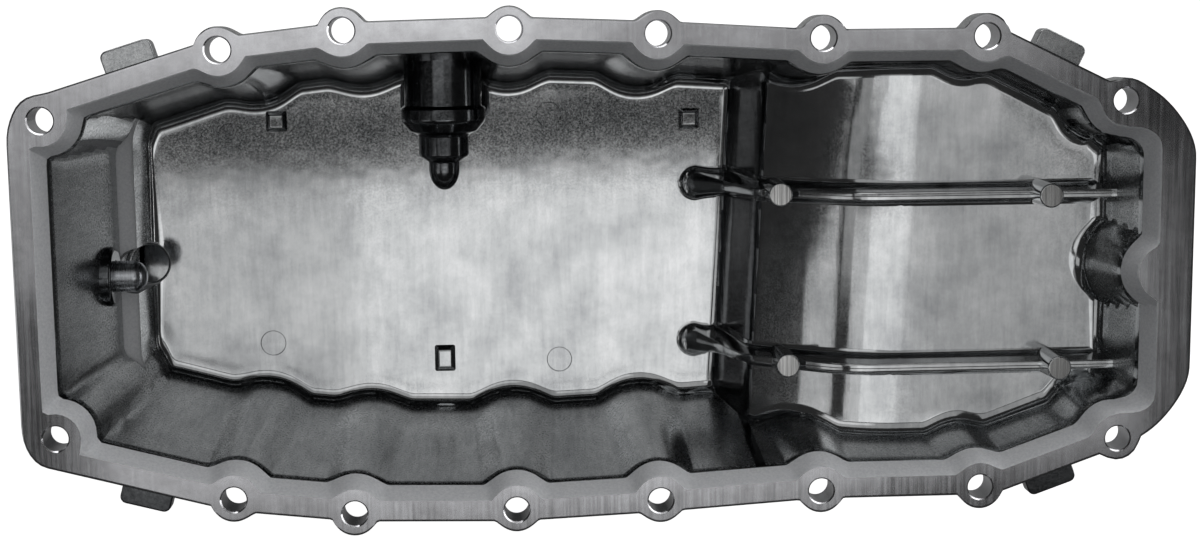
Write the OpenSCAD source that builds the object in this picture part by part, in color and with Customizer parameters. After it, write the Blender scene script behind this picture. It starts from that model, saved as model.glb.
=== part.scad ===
// Cast aluminium oil pan for a four-cylinder engine, with a screw plug and its sealing washer.
// X runs along the engine, Y across it and Z up. The pan's box stands centred on the origin.
// The deep sump is at low X and the shallow chamber, with its two ribs, at high X.
// The modules below draw the pan with its sealing face at Z = 0, and in_place() moves it.

/* [Bolt holes] */
// Diameter of the flange's bolt holes
bolt_d = 9; // [6.6:0.1:10]
// Radius of the round boss about each bolt hole
boss_r = 8.2; // [7:0.1:9]
// Width of the chamfer at the mouth of each hole
hole_chamfer = 0.5; // [0.2:0.1:1]
// Bolt pair 1, at the sump end: place along the pan
bolt_x1 = -192.5; // [-196:0.1:-186]
// Bolt pair 1: from the middle line to each hole
bolt_y1 = 56.5; // [54:0.1:59]
// Bolt pair 2: place along the pan
bolt_x2 = -130.5; // [-136:0.1:-124]
// Bolt pair 2: from the middle line to each hole
bolt_y2 = 80.3; // [78:0.1:83]
// Bolt pair 3: place along the pan
bolt_x3 = -87.4; // [-94:0.1:-80]
// Bolt pairs 3 and 4, the widest: from the middle line to each hole
bolt_y3 = 86.5; // [85:0.1:90]
// Bolt pair 4: place along the pan
bolt_x4 = -28.9; // [-34:0.1:-24]
// Bolt pair 5: place along the pan
bolt_x5 = 23.5; // [18:0.1:30]
// Bolt pair 5: from the middle line to each hole
bolt_y5 = 84.4; // [83:0.1:86]
// Bolt pair 6: place along the pan
bolt_x6 = 82.4; // [76:0.1:88]
// Bolt pairs 6 and 7: from the middle line to each hole
bolt_y6 = 82.2; // [80:0.1:84]
// Bolt pair 7: place along the pan
bolt_x7 = 141.2; // [135:0.1:146]
// Bolt pair 8, at the shallow end: place along the pan
bolt_x8 = 192.1; // [189:0.1:195]
// Bolt pair 8: from the middle line to the hole on the +Y side
bolt_y8 = 58.7; // [57:0.1:61]
// Bolt pair 8: from the middle line to the hole on the -Y side
bolt_y8_low = 65.1; // [63:0.1:67]

/* [Sealing flange] */
// Thickness of the flange
flange_t = 13; // [10:0.5:16]
// Width of the sealing face along the sides and the sump end
face_w = 8; // [7:0.1:9]
// Width of the sealing face at the shallow end
face_w_end = 13; // [11:0.1:15]
// From the holes out to the flange's edge at the wide bolt pairs 2, 4 and 5
edge_wide = 4.4; // [3:0.1:6]
// From the holes out to the flange's edge at bolt pairs 3, 6 and 7
edge_slim = 3; // [2:0.1:5]
// From bolt pair 1 out to the flange's end
edge_sump_end = 11.9; // [10:0.1:14]
// From bolt pair 8 out to the flange's end
edge_shallow_end = 26.4; // [24:0.1:30]
// Rounding radius of the corners at the sump end
corner_r = 16; // [12:0.5:20]
// Rounding radius of the corners at the shallow end
end_corner_r = 30; // [24:0.5:34]
// How far the inner bulge in the end face stands into the pan
end_bulge = 7.5; // [5:0.1:9]

/* [Walls and floors] */
// Thickness of the cast walls
wall_t = 4.5; // [3.5:0.1:6]
// Thickness of the cast floors
floor_t = 5; // [4:0.1:7]
// Height of the steep band under the sealing face's inner edge
band_h = 10; // [8:0.5:12]
// How far the band slopes inward
band_in = 4.4; // [3:0.1:5.5]
// Depth of the sump floor below the sealing face
sump_depth = 100; // [90:1:110]
// Depth of the shallow chamber's floor below the sealing face
shallow_depth = 36; // [32:0.5:42]
// Draft angle of the +Y wall
draft_far = 5.4; // [4:0.1:7]
// Draft angle of the -Y wall
draft_near = 6.6; // [4:0.1:8]
// Draft angle of the sump's end wall
draft_sump_end = 9.8; // [8:0.1:12]
// Draft angle of the shallow chamber's end wall
draft_shallow_end = 11.5; // [8:0.1:14]
// Fillet radius round the sump floor
floor_fillet = 5; // [3:0.5:8]
// Place along the pan where the step rises from the sump floor
step_x = 58; // [52:0.5:64]
// Height of the steep riser above the sump floor
riser_h = 38; // [30:0.5:44]
// How far the riser leans back
riser_lean = 8; // [5:0.5:12]
// Place along the pan where the ramp meets the shallow floor
ramp_x = 101; // [94:0.5:110]
// Angle of the step across the pan
step_skew = 3.3; // [0:0.1:5]
// Height of the ledge in the sump's end wall, above the sump floor
ledge_h = 26; // [20:0.5:32]
// Width of that ledge
ledge_w = 5; // [3:0.1:7]

/* [Ribs and pins] */
// Height of the ribs above the shallow floor
rib_h = 11; // [8:0.5:14]
// Thickness of a rib at its crest
rib_crest = 3.4; // [2.5:0.1:5]
// Draft angle of a rib's sides
rib_draft = 6; // [3:0.5:8]
// Place of the +Y rib across the pan
rib_far_y = 23; // [18:0.5:28]
// Place of the -Y rib across the pan
rib_near_y = -42; // [-46:0.5:-36]
// Width of the round nose where a rib stands on the sump floor
nose_w = 11; // [9:0.5:13]
// Place along the pan of the noses' centres
nose_x = 45.5; // [42:0.5:48]
// Height of the ribs' crest above the sump floor, just before the step
rib_step_h = 24; // [18:0.5:28]
// Diameter of the stop pins on the ribs
pin_d = 9; // [8:0.1:10]
// Height of the stop pins above the rib
pin_h = 7; // [5:0.5:9]
// Place along the pan of the pin on the +Y rib, over the ramp
pin_x1 = 72; // [68:0.5:78]
// Place along the pan of the pin on the +Y rib, near the end wall
pin_x2 = 170; // [162:0.5:176]
// How much further along the pan the -Y rib's pins stand
pin_shift = 5.5; // [0:0.5:8]

/* [Sensor boss] */
// Place of the sensor boss along the pan
sensor_x = -54.5; // [-58:0.5:-50]
// Height of the sensor boss's axis above the sump floor
sensor_h = 28; // [24:0.5:34]
// Diameter of the boss where it leaves the wall
sensor_d = 33; // [30:0.5:36]
// Diameter of the boss's middle step
sensor_step_d = 19.5; // [17:0.5:22]
// Diameter of the boss's round tip
sensor_tip_d = 12; // [10:0.5:14]
// Place across the pan where the wide part of the boss ends
sensor_y1 = 47; // [44:0.5:50]
// Place across the pan where the middle step ends
sensor_y2 = 36; // [34:0.5:40]
// Place across the pan where the tip ends
sensor_y3 = 24; // [20:0.5:28]
// Rounding radius of the upright edges of the web under the boss
web_round = 5; // [2:0.5:8]
// Diameter of the port drilled into the boss from outside
port_d = 12.5; // [10:0.1:14]
// Diameter of the pilot hole past the port
pilot_d = 5; // [4:0.1:6]
// How far the boss's outer face stands off the middle line
port_face_y = 85; // [83:0.5:88]

/* [Screw plug] */
// Place of the plug across the pan
plug_y = -6.6; // [-10:0.1:-4]
// Height of the plug's axis above the sump floor
plug_h = 39; // [36:0.5:42]
// Outer diameter of the plug's shank
plug_d = 12; // [10:0.1:14]
// Clearance of the shank in its hole, on the radius
plug_gap = 0.05; // [0.02:0.01:0.1]
// Diameter of the plug's boss outside the wall
plug_boss_d = 26; // [25:0.5:30]
// How far the boss's outer face stands out of the wall
plug_boss_out = 4.3; // [3:0.1:7]
// Diameter of the collar inside the wall
collar_d = 23; // [19:0.5:24]
// How far the collar's inner face stands out of the wall
collar_out = 2.2; // [1.5:0.1:4]
// How far the plug's domed end stands past the collar
plug_reach = 12; // [9:0.5:14]
// Width across the flats of the plug's hexagon
hex_af = 17; // [14:0.5:19]
// Height of the plug's hexagon
hex_h = 6; // [5:0.5:7]
// Diameter of the plug's collar under the hexagon
plug_collar_d = 22; // [20:0.5:24]
// Thickness of the plug's collar
plug_collar_t = 2.5; // [2:0.1:3.5]
// Outer diameter of the sealing washer
washer_d = 20; // [18.5:0.1:22]
// Thickness of the sealing washer
washer_t = 1.5; // [1:0.1:2]
// Radius of the upright groove in the wall under the plug
groove_r = 9; // [7:0.5:10]
// Place along the pan of the groove's axis
groove_x = -175.3; // [-177:0.1:-174]

/* [Small cast details] */
// Width of the ears under the flange
ear_w = 18.5; // [16:0.5:22]
// How far the ears stand out of the flange's edge
ear_out = 7.5; // [5:0.5:9]
// Thickness of the ears
ear_t = 7; // [5:0.5:8]
// Width of the square pads on the sump floor, at the foot
pad_w = 9.5; // [8:0.1:11]
// Height of the square pads
pad_h = 2.5; // [1.5:0.1:3.5]
// Diameter of the ejector marks on the sump floor
mark_d = 10.5; // [9:0.1:12]
// Depth of the ejector marks
mark_depth = 0.4; // [0.2:0.1:0.8]

/* [Hidden] */

cast_color = [0.62, 0.63, 0.64];
steel_color = [0.55, 0.56, 0.58];
copper_color = [0.72, 0.45, 0.28];

// The pan's underside comes to Z = 0 and the middle of its box to X = 0.
module in_place() translate([-(end_x0 + end_x1) / 2, 0, sump_depth + floor_t]) children();

// Bolt holes in order along the pan, each with its side: [x, y, edge].
bolt_xs = [bolt_x1, bolt_x2, bolt_x3, bolt_x4, bolt_x5, bolt_x6, bolt_x7, bolt_x8];
far_ys = [bolt_y1, bolt_y2, bolt_y3, bolt_y3, bolt_y5, bolt_y6, bolt_y6, bolt_y8];
near_ys = [bolt_y1, bolt_y2, bolt_y3, bolt_y3, bolt_y5, bolt_y6, bolt_y6, bolt_y8_low];
edges = [0, edge_wide, edge_slim, edge_wide, edge_wide, edge_slim, edge_slim, 0];
holes = concat([for (i = [0:7]) [bolt_xs[i], far_ys[i]]], [for (i = [0:7]) [bolt_xs[i], -near_ys[i]]]);

// Ends of the flange, and where its slanted sides begin and end.
end_x0 = bolt_x1 - edge_sump_end;
end_x1 = bolt_x8 + edge_shallow_end;
far_corner0 = bolt_y1 + 5.2;
near_corner0 = bolt_y1 + 8.5;
far_corner1 = bolt_y8 + 6;
near_corner1 = bolt_y8_low + 1;
slant_x0 = bolt_x7 + 5;
slant_x1 = bolt_x8 - 4;

// The flange's edge along one side, as distances from the middle line.
function rail(ys, c0, slant_y) = concat(
    [[end_x0, c0]],
    [for (i = [1:6]) [bolt_xs[i], ys[i] + edges[i]]],
    [[slant_x0, ys[6] + edges[6]], [slant_x1, slant_y]]);
far_rail = rail(far_ys, far_corner0, bolt_y8 + 6.1);
near_rail = rail(near_ys, near_corner0, bolt_y8_low + 5.2);

// Smooth minimum and maximum: k is the width over which two surfaces blend.
function smin(a, b, k) = let (h = max(k - abs(a - b), 0) / k) min(a, b) - h * h * k / 4;
function smax(a, b, k) = -smin(-a, -b, k);
// Blend width that rounds a corner of the given turn like an arc of radius r.
function blend(r, turn) = 4 * r * (1 / cos(turn / 2) - 1);
// Distance given for a ray that meets nothing, far past every wall.
no_hit = 1000;

// Every outline is read along rays [x, angle] that start on the middle line.
// They stand square to it between the two fan centres, and fan out round each end.
fan_x0 = -150;
fan_x1 = 160;
function rays(n_side, n_fan) = concat(
    [for (i = [0:n_fan - 1]) [fan_x1, -90 + 180 * i / n_fan]],
    [for (i = [0:n_side - 1]) [fan_x1 + (fan_x0 - fan_x1) * i / n_side, 90]],
    [for (i = [0:n_fan - 1]) [fan_x0, 90 + 180 * i / n_fan]],
    [for (i = [0:n_side - 1]) [fan_x0 + (fan_x1 - fan_x0) * i / n_side, 270]]);
function is_fan(ray) = abs(abs(sin(ray[1])) - 1) > 0.0001;
function is_far(ray) = sin(ray[1]) > 0;

// Distance along a ray to the line AB of the +Y side, moved inward by off.
function to_line(x, a, p, q, off) = let (
    u = (q - p) / norm(q - p),
    n = [-u[1], u[0]],
    reach = n * p - off - n * [x, 0],
    rate = n * [cos(a), abs(sin(a))]) rate > 0.001 ? reach / rate : no_hit;
// Distance along a ray to an end plane at x1, moved inward by off.
function to_end(x, a, x1, off) = let (
    s = sign(x1 - x),
    rate = s * cos(a)) rate > 0.001 ? (s * (x1 - x) - off) / rate : no_hit;
// Near (s = -1) or far (s = 1) crossing of a ray with a circle about c.
function to_circle(x, a, c, r, s, miss) = let (
    d = [cos(a), sin(a)],
    m = (c - [x, 0]) * d,
    w2 = r * r - pow(norm(c - [x, 0]), 2) + m * m) (w2 > 0 && m > 0) ? m + s * sqrt(w2) : miss;

// Which stretch of a rail lies over x.
function stretch(rl, x, i = 0) = (i >= len(rl) - 2 || x < rl[i + 1][0]) ? i : stretch(rl, x, i + 1);
function to_rail(rl, x, a, off) = let (i = stretch(rl, x)) to_line(x, a, rl[i], rl[i + 1], off);

// How far each wall has come inward at height z, measured from the sealing face's inner edge.
function draft_in(z, angle) = z > -band_h
    ? band_in * -z / band_h
    : band_in + (-z - band_h) * tan(angle);
side_bulge_r = face_w + 1.3;
end_bulge_r = 10;
end_bulge_c = [end_x1 - face_w_end + end_bulge_r - end_bulge, -4];
// The sump's end wall steps inward at the ledge, and stands steeper below it.
ledge_z = -sump_depth + ledge_h;
function sump_end_in(z) = z > ledge_z
    ? draft_in(z, draft_sump_end)
    : draft_in(ledge_z, draft_sump_end) + ledge_w + (ledge_z - z) * tan(4);

// Wall from the boss of a shallow-end corner hole c to the end wall, nearly square to the end.
function to_flank(x, a, c, r) = let (
    s = sign(c[1]),
    n = [sin(5), -s * cos(5)],
    along = [cos(5), s * sin(5)],
    rate = -n * [cos(a), sin(a)],
    t = rate > 0.001 ? (n * ([x, 0] - c) - r) / rate : no_hit)
    (t < no_hit && (at([x, a], t) - c) * along > 0) ? t : no_hit;

// Inner surface of the walls at height z, moved outward by grow.
function wall_t_at(ray, z, grow) = let (
    x = ray[0],
    a = ray[1],
    far = is_far(ray),
    rl = far ? far_rail : near_rail,
    side = draft_in(z, far ? draft_far : draft_near) - grow,
    left = (grow > 0 ? draft_in(z, draft_sump_end) : sump_end_in(z)) - grow,
    right = draft_in(z, draft_shallow_end) - grow,
    r = side_bulge_r + side,
    corner = [bolt_x8, far ? bolt_y8 : -bolt_y8_low],
    flank = x > 0 && is_fan(ray) ? to_flank(x, a, corner, r) : no_hit,
    end = x < 0 ? to_end(x, a, end_x0, face_w + left)
        : smin(to_end(x, a, end_x1, face_w_end + right), flank, 12),
    plain = is_fan(ray) ? smin(to_rail(rl, x, a, face_w + side), end, 8) : to_rail(rl, x, a, face_w + side),
    bosses = min([for (h = holes)
        if ((h[1] > 0) == far)
            flank < no_hit && h[0] == bolt_x8 ? no_hit : to_circle(x, a, h, r, -1, no_hit)]),
    both = smin(plain, bosses, 3.5))
    x > 0 ? smin(both, to_circle(x, a, end_bulge_c, end_bulge_r + right, -1, no_hit), 3) : both;

// Outer edge of the flange.
function edge_at(ray) = let (
    x = ray[0],
    a = ray[1],
    far = is_far(ray),
    rl = far ? far_rail : near_rail,
    c1 = far ? far_corner1 : near_corner1,
    round0 = blend(corner_r, 72),
    round1 = blend(end_corner_r, 90),
    side = to_rail(rl, x, a, 0),
    plain = !is_fan(ray) ? side
        : x < 0 ? smin(side, to_end(x, a, end_x0, 0), round0)
        : max(min(side, to_end(x, a, bolt_x8, 0)),
            smin(to_line(x, a, [x, c1], [end_x1, c1], 0), to_end(x, a, end_x1, 0), round1)),
    bosses = max([for (h = holes)
        if ((h[1] > 0) == far) to_circle(x, a, h, boss_r, 1, 0)]))
    smax(plain, bosses, 3);

function at(ray, t) = [ray[0] + t * cos(ray[1]), t * sin(ray[1])];

// A closed solid through level rings of rays: each level is [z, distances].
module loft(rs, n_side, n_fan, levels) {
    n = len(rs);
    m = len(levels);
    pts = concat(
        [for (lv = levels) for (j = [0:n - 1]) concat(at(rs[j], lv[1][j]), lv[0])],
        [for (lv = [levels[0], levels[m - 1]]) for (x = [fan_x1 + 18, fan_x0 - 18]) [x, 0, lv[0]]]);
    // Rings start at the fan about fan_x1, so the far side runs from n_fan and the near side ends at n.
    side_faces = [for (k = [0:m - 2]) for (j = [0:n - 1]) let (
        p = k * n + j,
        q = k * n + (j + 1) % n) each [[p, p + n, q + n], [p, q + n, q]]];
    function cap(base, hub, flip) = let (
        fan0 = [for (j = [0:n_fan - 1]) [hub, base + j, base + j + 1]],
        fan1 = [for (j = [0:n_fan - 1]) let (p = n_fan + n_side + j) [hub + 1, base + p, base + (p + 1) % n]],
        ends = [[hub, base + n_fan, base], [hub + 1, base + (2 * n_fan + n_side) % n, base + n_fan + n_side]],
        strip = [for (j = [0:n_side - 1]) let (
            f0 = base + n_fan + j,
            f1 = f0 + 1,
            g0 = base + (n - j) % n,
            g1 = base + n - j - 1) each [[f0, f1, g1], [f0, g1, g0]]],
        all = concat(fan0, fan1, ends, strip))
        [for (f = all) flip ? [f[2], f[1], f[0]] : f];
    faces = concat(side_faces, cap(0, m * n, false), cap((m - 1) * n, m * n + 2, true));
    polyhedron(pts, faces);
}

// Heights and extra inward steps of a floor fillet, from the wall down to the floor.
function fillet(z_floor, r, steps) = [for (i = [0:steps]) let (a = 90 * i / steps)
    [z_floor + r * (1 - sin(a)), r * (1 - cos(a))]];

// The walls as one drafted tub from z_top to z_floor, moved outward by grow.
module tub(z_top, z_floor, r, grow, n_side, n_fan, steps) {
    rs = rays(n_side, n_fan);
    top = z_top >= 0
        ? [z_top, 0, -band_h, ledge_z + 0.6, ledge_z - 0.6]
        : [z_top, -band_h, ledge_z];
    levels = concat(
        [for (f = [for (i = [steps:-1:0]) fillet(z_floor, r, steps)[i]])
            [f[0], [for (ray = rs) wall_t_at(ray, f[0], grow) - f[1]]]],
        [for (i = [len(top) - 1:-1:0]) [top[i], [for (ray = rs) wall_t_at(ray, top[i], grow)]]]);
    loft(rs, n_side, n_fan, levels);
}

// Side view of everything above the floors, lowered by drop: step, ramp and shallow floor.
function arc_points(c, r, a0, a1, n) = [for (i = [0:n]) let (a = a0 + (a1 - a0) * i / n) c + r * [cos(a), sin(a)]];
module above_floors(drop) {
    lean = riser_lean / riser_h;
    ramp_a = atan2(sump_depth - riser_h - shallow_depth, ramp_x - step_x - riser_lean);
    z0 = -sump_depth - drop;
    shift = drop * 0.9;
    foot = [step_x + shift, z0];
    riser_a = atan2(riser_h, riser_lean);
    r1 = floor_fillet;
    c1 = foot + [-r1 * tan(riser_a / 2), r1];
    top = [step_x + riser_lean + shift, z0 + riser_h];
    r2 = 6;
    turn = riser_a - ramp_a;
    t2 = r2 * tan(turn / 2);
    c2 = top - t2 * [cos(riser_a), sin(riser_a)] + r2 * [sin(riser_a), -cos(riser_a)];
    r3 = 60;
    knee = [ramp_x + shift, -shallow_depth - drop];
    t3 = r3 * tan(ramp_a / 2);
    c3 = knee + [t3, -r3];
    profile = concat(
        [[end_x0 - 20, z0 - 10 * drop - 1], [end_x0 - 20, 20], [end_x1 + 20, 20], [end_x1 + 20, knee[1]]],
        arc_points(c3, r3, 90, 90 + ramp_a, 6),
        arc_points(c2, r2, 90 + ramp_a, 90 + riser_a, 5),
        arc_points(c1, r1, riser_a - 90, -90, 5),
        [[foot[0] - 30, z0 - 10 * drop - 1]]);
    reach_y = bolt_y3 + edge_wide + 60;
    rotate([0, 0, -step_skew])
        translate([0, reach_y, 0])
            rotate([90, 0, 0])
                linear_extrude(2 * reach_y)
                    polygon(profile);
}

module flange_plate() {
    rs = rays(150, 56);
    translate([0, 0, -flange_t])
        linear_extrude(flange_t)
            polygon([for (ray = rs) at(ray, edge_at(ray))]);
}

module cavity() {
    intersection() {
        tub(2, -sump_depth, floor_fillet, 0, 84, 44, 4);
        above_floors(0);
    }
}

module outside() {
    flange_plate();
    intersection() {
        tub(-flange_t + 4, -sump_depth - floor_t, floor_fillet + wall_t, wall_t, 60, 24, 3);
        above_floors(floor_t);
    }
}

module bolt_holes() {
    for (h = holes)
        translate([h[0], h[1], -flange_t - 5]) {
            cylinder(d = bolt_d, h = flange_t + 10, $fn = 48);
            translate([0, 0, flange_t + 5 - hole_chamfer])
                cylinder(d1 = bolt_d, d2 = bolt_d + 4 * hole_chamfer, h = 2 * hole_chamfer, $fn = 48);
        }
}

// Floor height over x, without its fillets, and the crest line of the ribs above it.
ramp_slope = (sump_depth - riser_h - shallow_depth) / (ramp_x - step_x - riser_lean);
function floor_z(x) = x < step_x ? -sump_depth
    : x < step_x + riser_lean ? -sump_depth + riser_h * (x - step_x) / riser_lean
    : min(-shallow_depth, -shallow_depth + ramp_slope * (x - ramp_x));
function crest_z(x) = let (
    level = -shallow_depth + rib_h,
    over_ramp = -shallow_depth + ramp_slope * (x - ramp_x) + rib_h * 1.1,
    step = [step_x - 2, -sump_depth + rib_step_h],
    tip = [nose_x - nose_w / 2 + 1, -sump_depth + 2],
    leading = smax(tip[1] + (step - tip)[1] / (step - tip)[0] * (x - tip[0]), step[1] + 3.4 * (x - step[0]), 4))
    smin(smin(level, over_ramp, 7), leading, 10);

// One longitudinal rib: a drafted wall with a rounded crest, and a round nose on the sump floor.
rib_end = end_x1 - face_w_end - draft_in(-shallow_depth, draft_shallow_end) + wall_t * 0.75;
function skew_at(y) = y * tan(step_skew);
module rib(y) {
    foot = step_x + riser_lean;
    xs = concat(
        [for (a = [15:25:90]) nose_x - nose_w / 2 * cos(a)],
        [for (u = [0.35, 0.7]) nose_x + (step_x - nose_x) * u],
        [step_x, step_x + riser_lean / 2],
        [for (i = [0:6]) foot + (ramp_x - foot) * i / 6],
        [ramp_x + 4, ramp_x + 9, ramp_x + 15, rib_end - skew_at(y)]);
    function half_foot(x) = let (
        full = rib_crest / 2 + (crest_z(x) - floor_z(x)) * tan(rib_draft),
        nose = x < nose_x ? sqrt(pow(nose_w / 2, 2) - pow(nose_x - x, 2)) : nose_w / 2,
        reach = min(1, max(0, (x - nose_x) / (step_x - nose_x))))
        x < nose_x ? nose : nose * (1 - reach) + full * reach;
    function half_crest(x) = min(rib_crest / 2, half_foot(x) * 0.6);
    function section(x) = let (
        c = crest_z(x),
        f = floor_z(x) - 3.8,
        w = half_foot(x),
        v = half_crest(x)) [
            [x, y - w, f], [x, y - w, min(f + 3, c - 1.6)], [x, y - v, c - 1], [x, y - v / 2, c],
            [x, y + v / 2, c], [x, y + v, c - 1], [x, y + w, min(f + 3, c - 1.6)], [x, y + w, f]];
    n = 8;
    m = len(xs);
    pts = [for (x = xs) each section(x)];
    skin = [for (k = [0:m - 2]) for (j = [0:n - 1]) let (
        p = k * n + j,
        q = k * n + (j + 1) % n) each [[p, q + n, p + n], [p, q, q + n]]];
    translate([skew_at(y), 0, 0])
        polyhedron(pts, concat(skin, [[for (j = [n - 1:-1:0]) j]], [[for (j = [0:n - 1]) (m - 1) * n + j]]));
}

// A stop pin that stands on the floor and rises through a rib.
module stop_pin(x, y) {
    foot = floor_z(x - skew_at(y)) - 3.8;
    top = crest_z(x - skew_at(y)) + pin_h;
    bevel = 0.6;
    translate([x, y, foot]) {
        cylinder(r1 = pin_d / 2 + 0.6, r2 = pin_d / 2, h = top - bevel - foot, $fn = 48);
        translate([0, 0, top - bevel - foot])
            cylinder(r1 = pin_d / 2, r2 = pin_d / 2 - bevel, h = bevel, $fn = 48);
    }
}

module ribs_and_pins() {
    for (y = [rib_far_y, rib_near_y]) {
        shift = y < 0 ? pin_shift : 0;
        rib(y);
        stop_pin(pin_x1 + shift, y);
        stop_pin(pin_x2 + shift, y);
    }
}

// Sensor boss: a stepped, turned form that leaves the +Y wall and ends in a round tip.
sensor_z = -sump_depth + sensor_h;
module along_y(x, z) translate([x, 0, z]) rotate([-90, 0, 0]) children();
module sensor_boss() {
    r0 = sensor_d / 2;
    r1 = sensor_step_d / 2;
    r2 = sensor_tip_d / 2;
    shoulder = (r0 + r1) / 2;
    profile = concat(
        [[0, port_face_y], [r0 - 1.5, port_face_y], [r0 - 1.5, sensor_y1 + 10], [r0, sensor_y1 + 9]],
        [[r0, sensor_y1 + 4], [shoulder, sensor_y1], [r1 + 0.8, sensor_y1 - 1], [r1, sensor_y1 - 2]],
        [[r1, sensor_y2 + 1.5], [r2 + 1.5, sensor_y2], [r2, sensor_y2 - 1]],
        [for (a = [0:15:90]) [r2 * cos(a), sensor_y3 + (sensor_y2 - sensor_y3) * 0.7 * (1 - sin(a))]]);
    along_y(sensor_x, sensor_z)
        rotate_extrude($fn = 72)
            polygon(profile);
    // The web below carries the boss down to the floor and runs back into the wall.
    w = r0 - 1.5;
    y0 = sensor_y1 + 4;
    translate([sensor_x, 0, -sump_depth - 1])
        linear_extrude(sensor_h)
            polygon(concat([[w, y0 + 23]],
                arc_points([w - web_round, y0 + web_round], web_round, 0, -90, 5),
                arc_points([-w + web_round, y0 + web_round], web_round, -90, -180, 5),
                [[-w, y0 + 23]]));
}
module sensor_port() {
    along_y(sensor_x, sensor_z) {
        translate([0, 0, sensor_y2 + 3])
            cylinder(d = port_d, h = port_face_y - sensor_y2, $fn = 48);
        translate([0, 0, sensor_y3 + 5])
            cylinder(d = pilot_d, h = 20, $fn = 32);
    }
}

// Screw plug's seat: a boss outside the wall, a collar inside it, and an upright groove below it.
plug_z = -sump_depth + plug_h;
end_wall_x = end_x0 + face_w + draft_in(plug_z, draft_sump_end);
plug_face_x = end_wall_x - wall_t - plug_boss_out;
collar_x = end_wall_x + collar_out;
module along_x(y, z) translate([0, y, z]) rotate([0, 90, 0]) children();
module plug_boss() {
    along_x(plug_y, plug_z)
        translate([0, 0, plug_face_x])
            cylinder(d = plug_boss_d, h = collar_x - 1.5 - plug_face_x, $fn = 72);
    // The wall goes round the groove with a drafted half-round rib outside.
    translate([groove_x, plug_y, -sump_depth - floor_t + 1])
        cylinder(r1 = groove_r + 3.2, r2 = groove_r + wall_t + 0.5, h = plug_h + 14, $fn = 72);
}
module plug_collar() {
    along_x(plug_y, plug_z)
        translate([0, 0, collar_x - 6])
            cylinder(d = collar_d, h = 6, $fn = 72);
}
module plug_groove() {
    translate([groove_x, plug_y, -sump_depth - 0.5])
        cylinder(r = groove_r, h = plug_h + 10, $fn = 72);
}
module plug_hole() {
    along_x(plug_y, plug_z)
        translate([0, 0, plug_face_x - 5])
            cylinder(r = plug_d / 2 + plug_gap, h = collar_x - plug_face_x + 10, $fn = 72);
}

// Ears low on the slanted stretches of the flange's edge.
ear_xs = [(bolt_x1 + bolt_x2) / 2, (bolt_x7 + bolt_x8) / 2 + 1];
module ear(x, far) {
    rl = far ? far_rail : near_rail;
    i = stretch(rl, x);
    p = rl[i] + (rl[i + 1] - rl[i]) * (x - rl[i][0]) / (rl[i + 1][0] - rl[i][0]);
    turn = atan2(rl[i + 1][1] - rl[i][1], rl[i + 1][0] - rl[i][0]);
    r = 2.5;
    w = ear_w / 2;
    mirror([0, far ? 0 : 1, 0])
        translate([p[0], p[1], -flange_t + 1])
            rotate([0, 0, turn])
                linear_extrude(ear_t)
                    polygon(concat([[-w, -5]], [[w, -5]],
                        arc_points([w - r, ear_out - r], r, 0, 90, 4),
                        arc_points([-w + r, ear_out - r], r, 90, 180, 4)));
}

// Square pads and round ejector marks on the sump floor.
pads = [[-122.4, 50.2, 1], [44.6, 49.2, 1], [-56.6, -48, 1.3]];
marks = [[-141, 44.5], [-12.6, 51.5], [-126.6, -40.4], [-9.5, -49.5]];
module floor_pads() {
    for (p = pads)
        translate([p[0], p[1], -sump_depth - 1])
            linear_extrude(pad_h + 1, scale = 0.6)
                square([pad_w, pad_w * p[2]], center = true);
}
module floor_marks() {
    for (p = marks)
        translate([p[0], p[1], -sump_depth - mark_depth])
            cylinder(d = mark_d, h = 5, $fn = 48);
}

module hollow_shell() {
    difference() {
        union() {
            outside();
            plug_boss();
            for (x = ear_xs) {
                ear(x, true);
                ear(x, false);
            }
        }
        cavity();
    }
}

module pan_casting() {
    color(cast_color)
        in_place()
            difference() {
                union() {
                    difference() {
                        hollow_shell();
                        plug_groove();
                    }
                    plug_collar();
                    sensor_boss();
                    ribs_and_pins();
                    floor_pads();
                }
                floor_marks();
                bolt_holes();
                sensor_port();
                plug_hole();
            }
}

// Screw plug: hexagon and collar outside, plain shank with a domed end inside.
head_x = plug_face_x - washer_t;
module screw_plug() {
    color(steel_color)
        in_place()
            along_x(plug_y, plug_z) {
                translate([0, 0, head_x - plug_collar_t])
                    cylinder(d = plug_collar_d, h = plug_collar_t, $fn = 72);
                translate([0, 0, head_x - plug_collar_t - hex_h])
                    cylinder(d = hex_af / cos(30), h = hex_h + 0.5, $fn = 6);
                translate([0, 0, head_x])
                    rotate_extrude($fn = 72)
                        polygon(concat(
                            [[0, -0.5], [plug_d / 2, -0.5]],
                            [for (a = [0:15:90]) [plug_d / 2 * cos(a),
                                collar_x + plug_reach - head_x - 5 * (1 - sin(a))]]));
            }
}

module plug_washer() {
    color(copper_color)
        in_place()
            along_x(plug_y, plug_z)
                translate([0, 0, head_x])
                    difference() {
                        cylinder(d = washer_d, h = washer_t, $fn = 72);
                        translate([0, 0, -1])
                            cylinder(r = plug_d / 2 + plug_gap, h = washer_t + 2, $fn = 72);
                    }
}

pan_casting();
screw_plug();
plug_washer();
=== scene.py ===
"""Cast aluminium engine oil pan, dressed for a studio picture.

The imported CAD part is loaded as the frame. The casting gets a finer skin with soft cast fillets,
and the screw plug and its washer get their own finished pieces. Sizes here are in millimetres of
the pan's drawing, whose sealing face lies at zero height, and place() moves them to the frame.
"""

import math
from contextlib import contextmanager

import bmesh
import bpy
import numpy as np
from bpy.props import FloatProperty, FloatVectorProperty, PointerProperty
from mathutils import Matrix, Vector


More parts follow.
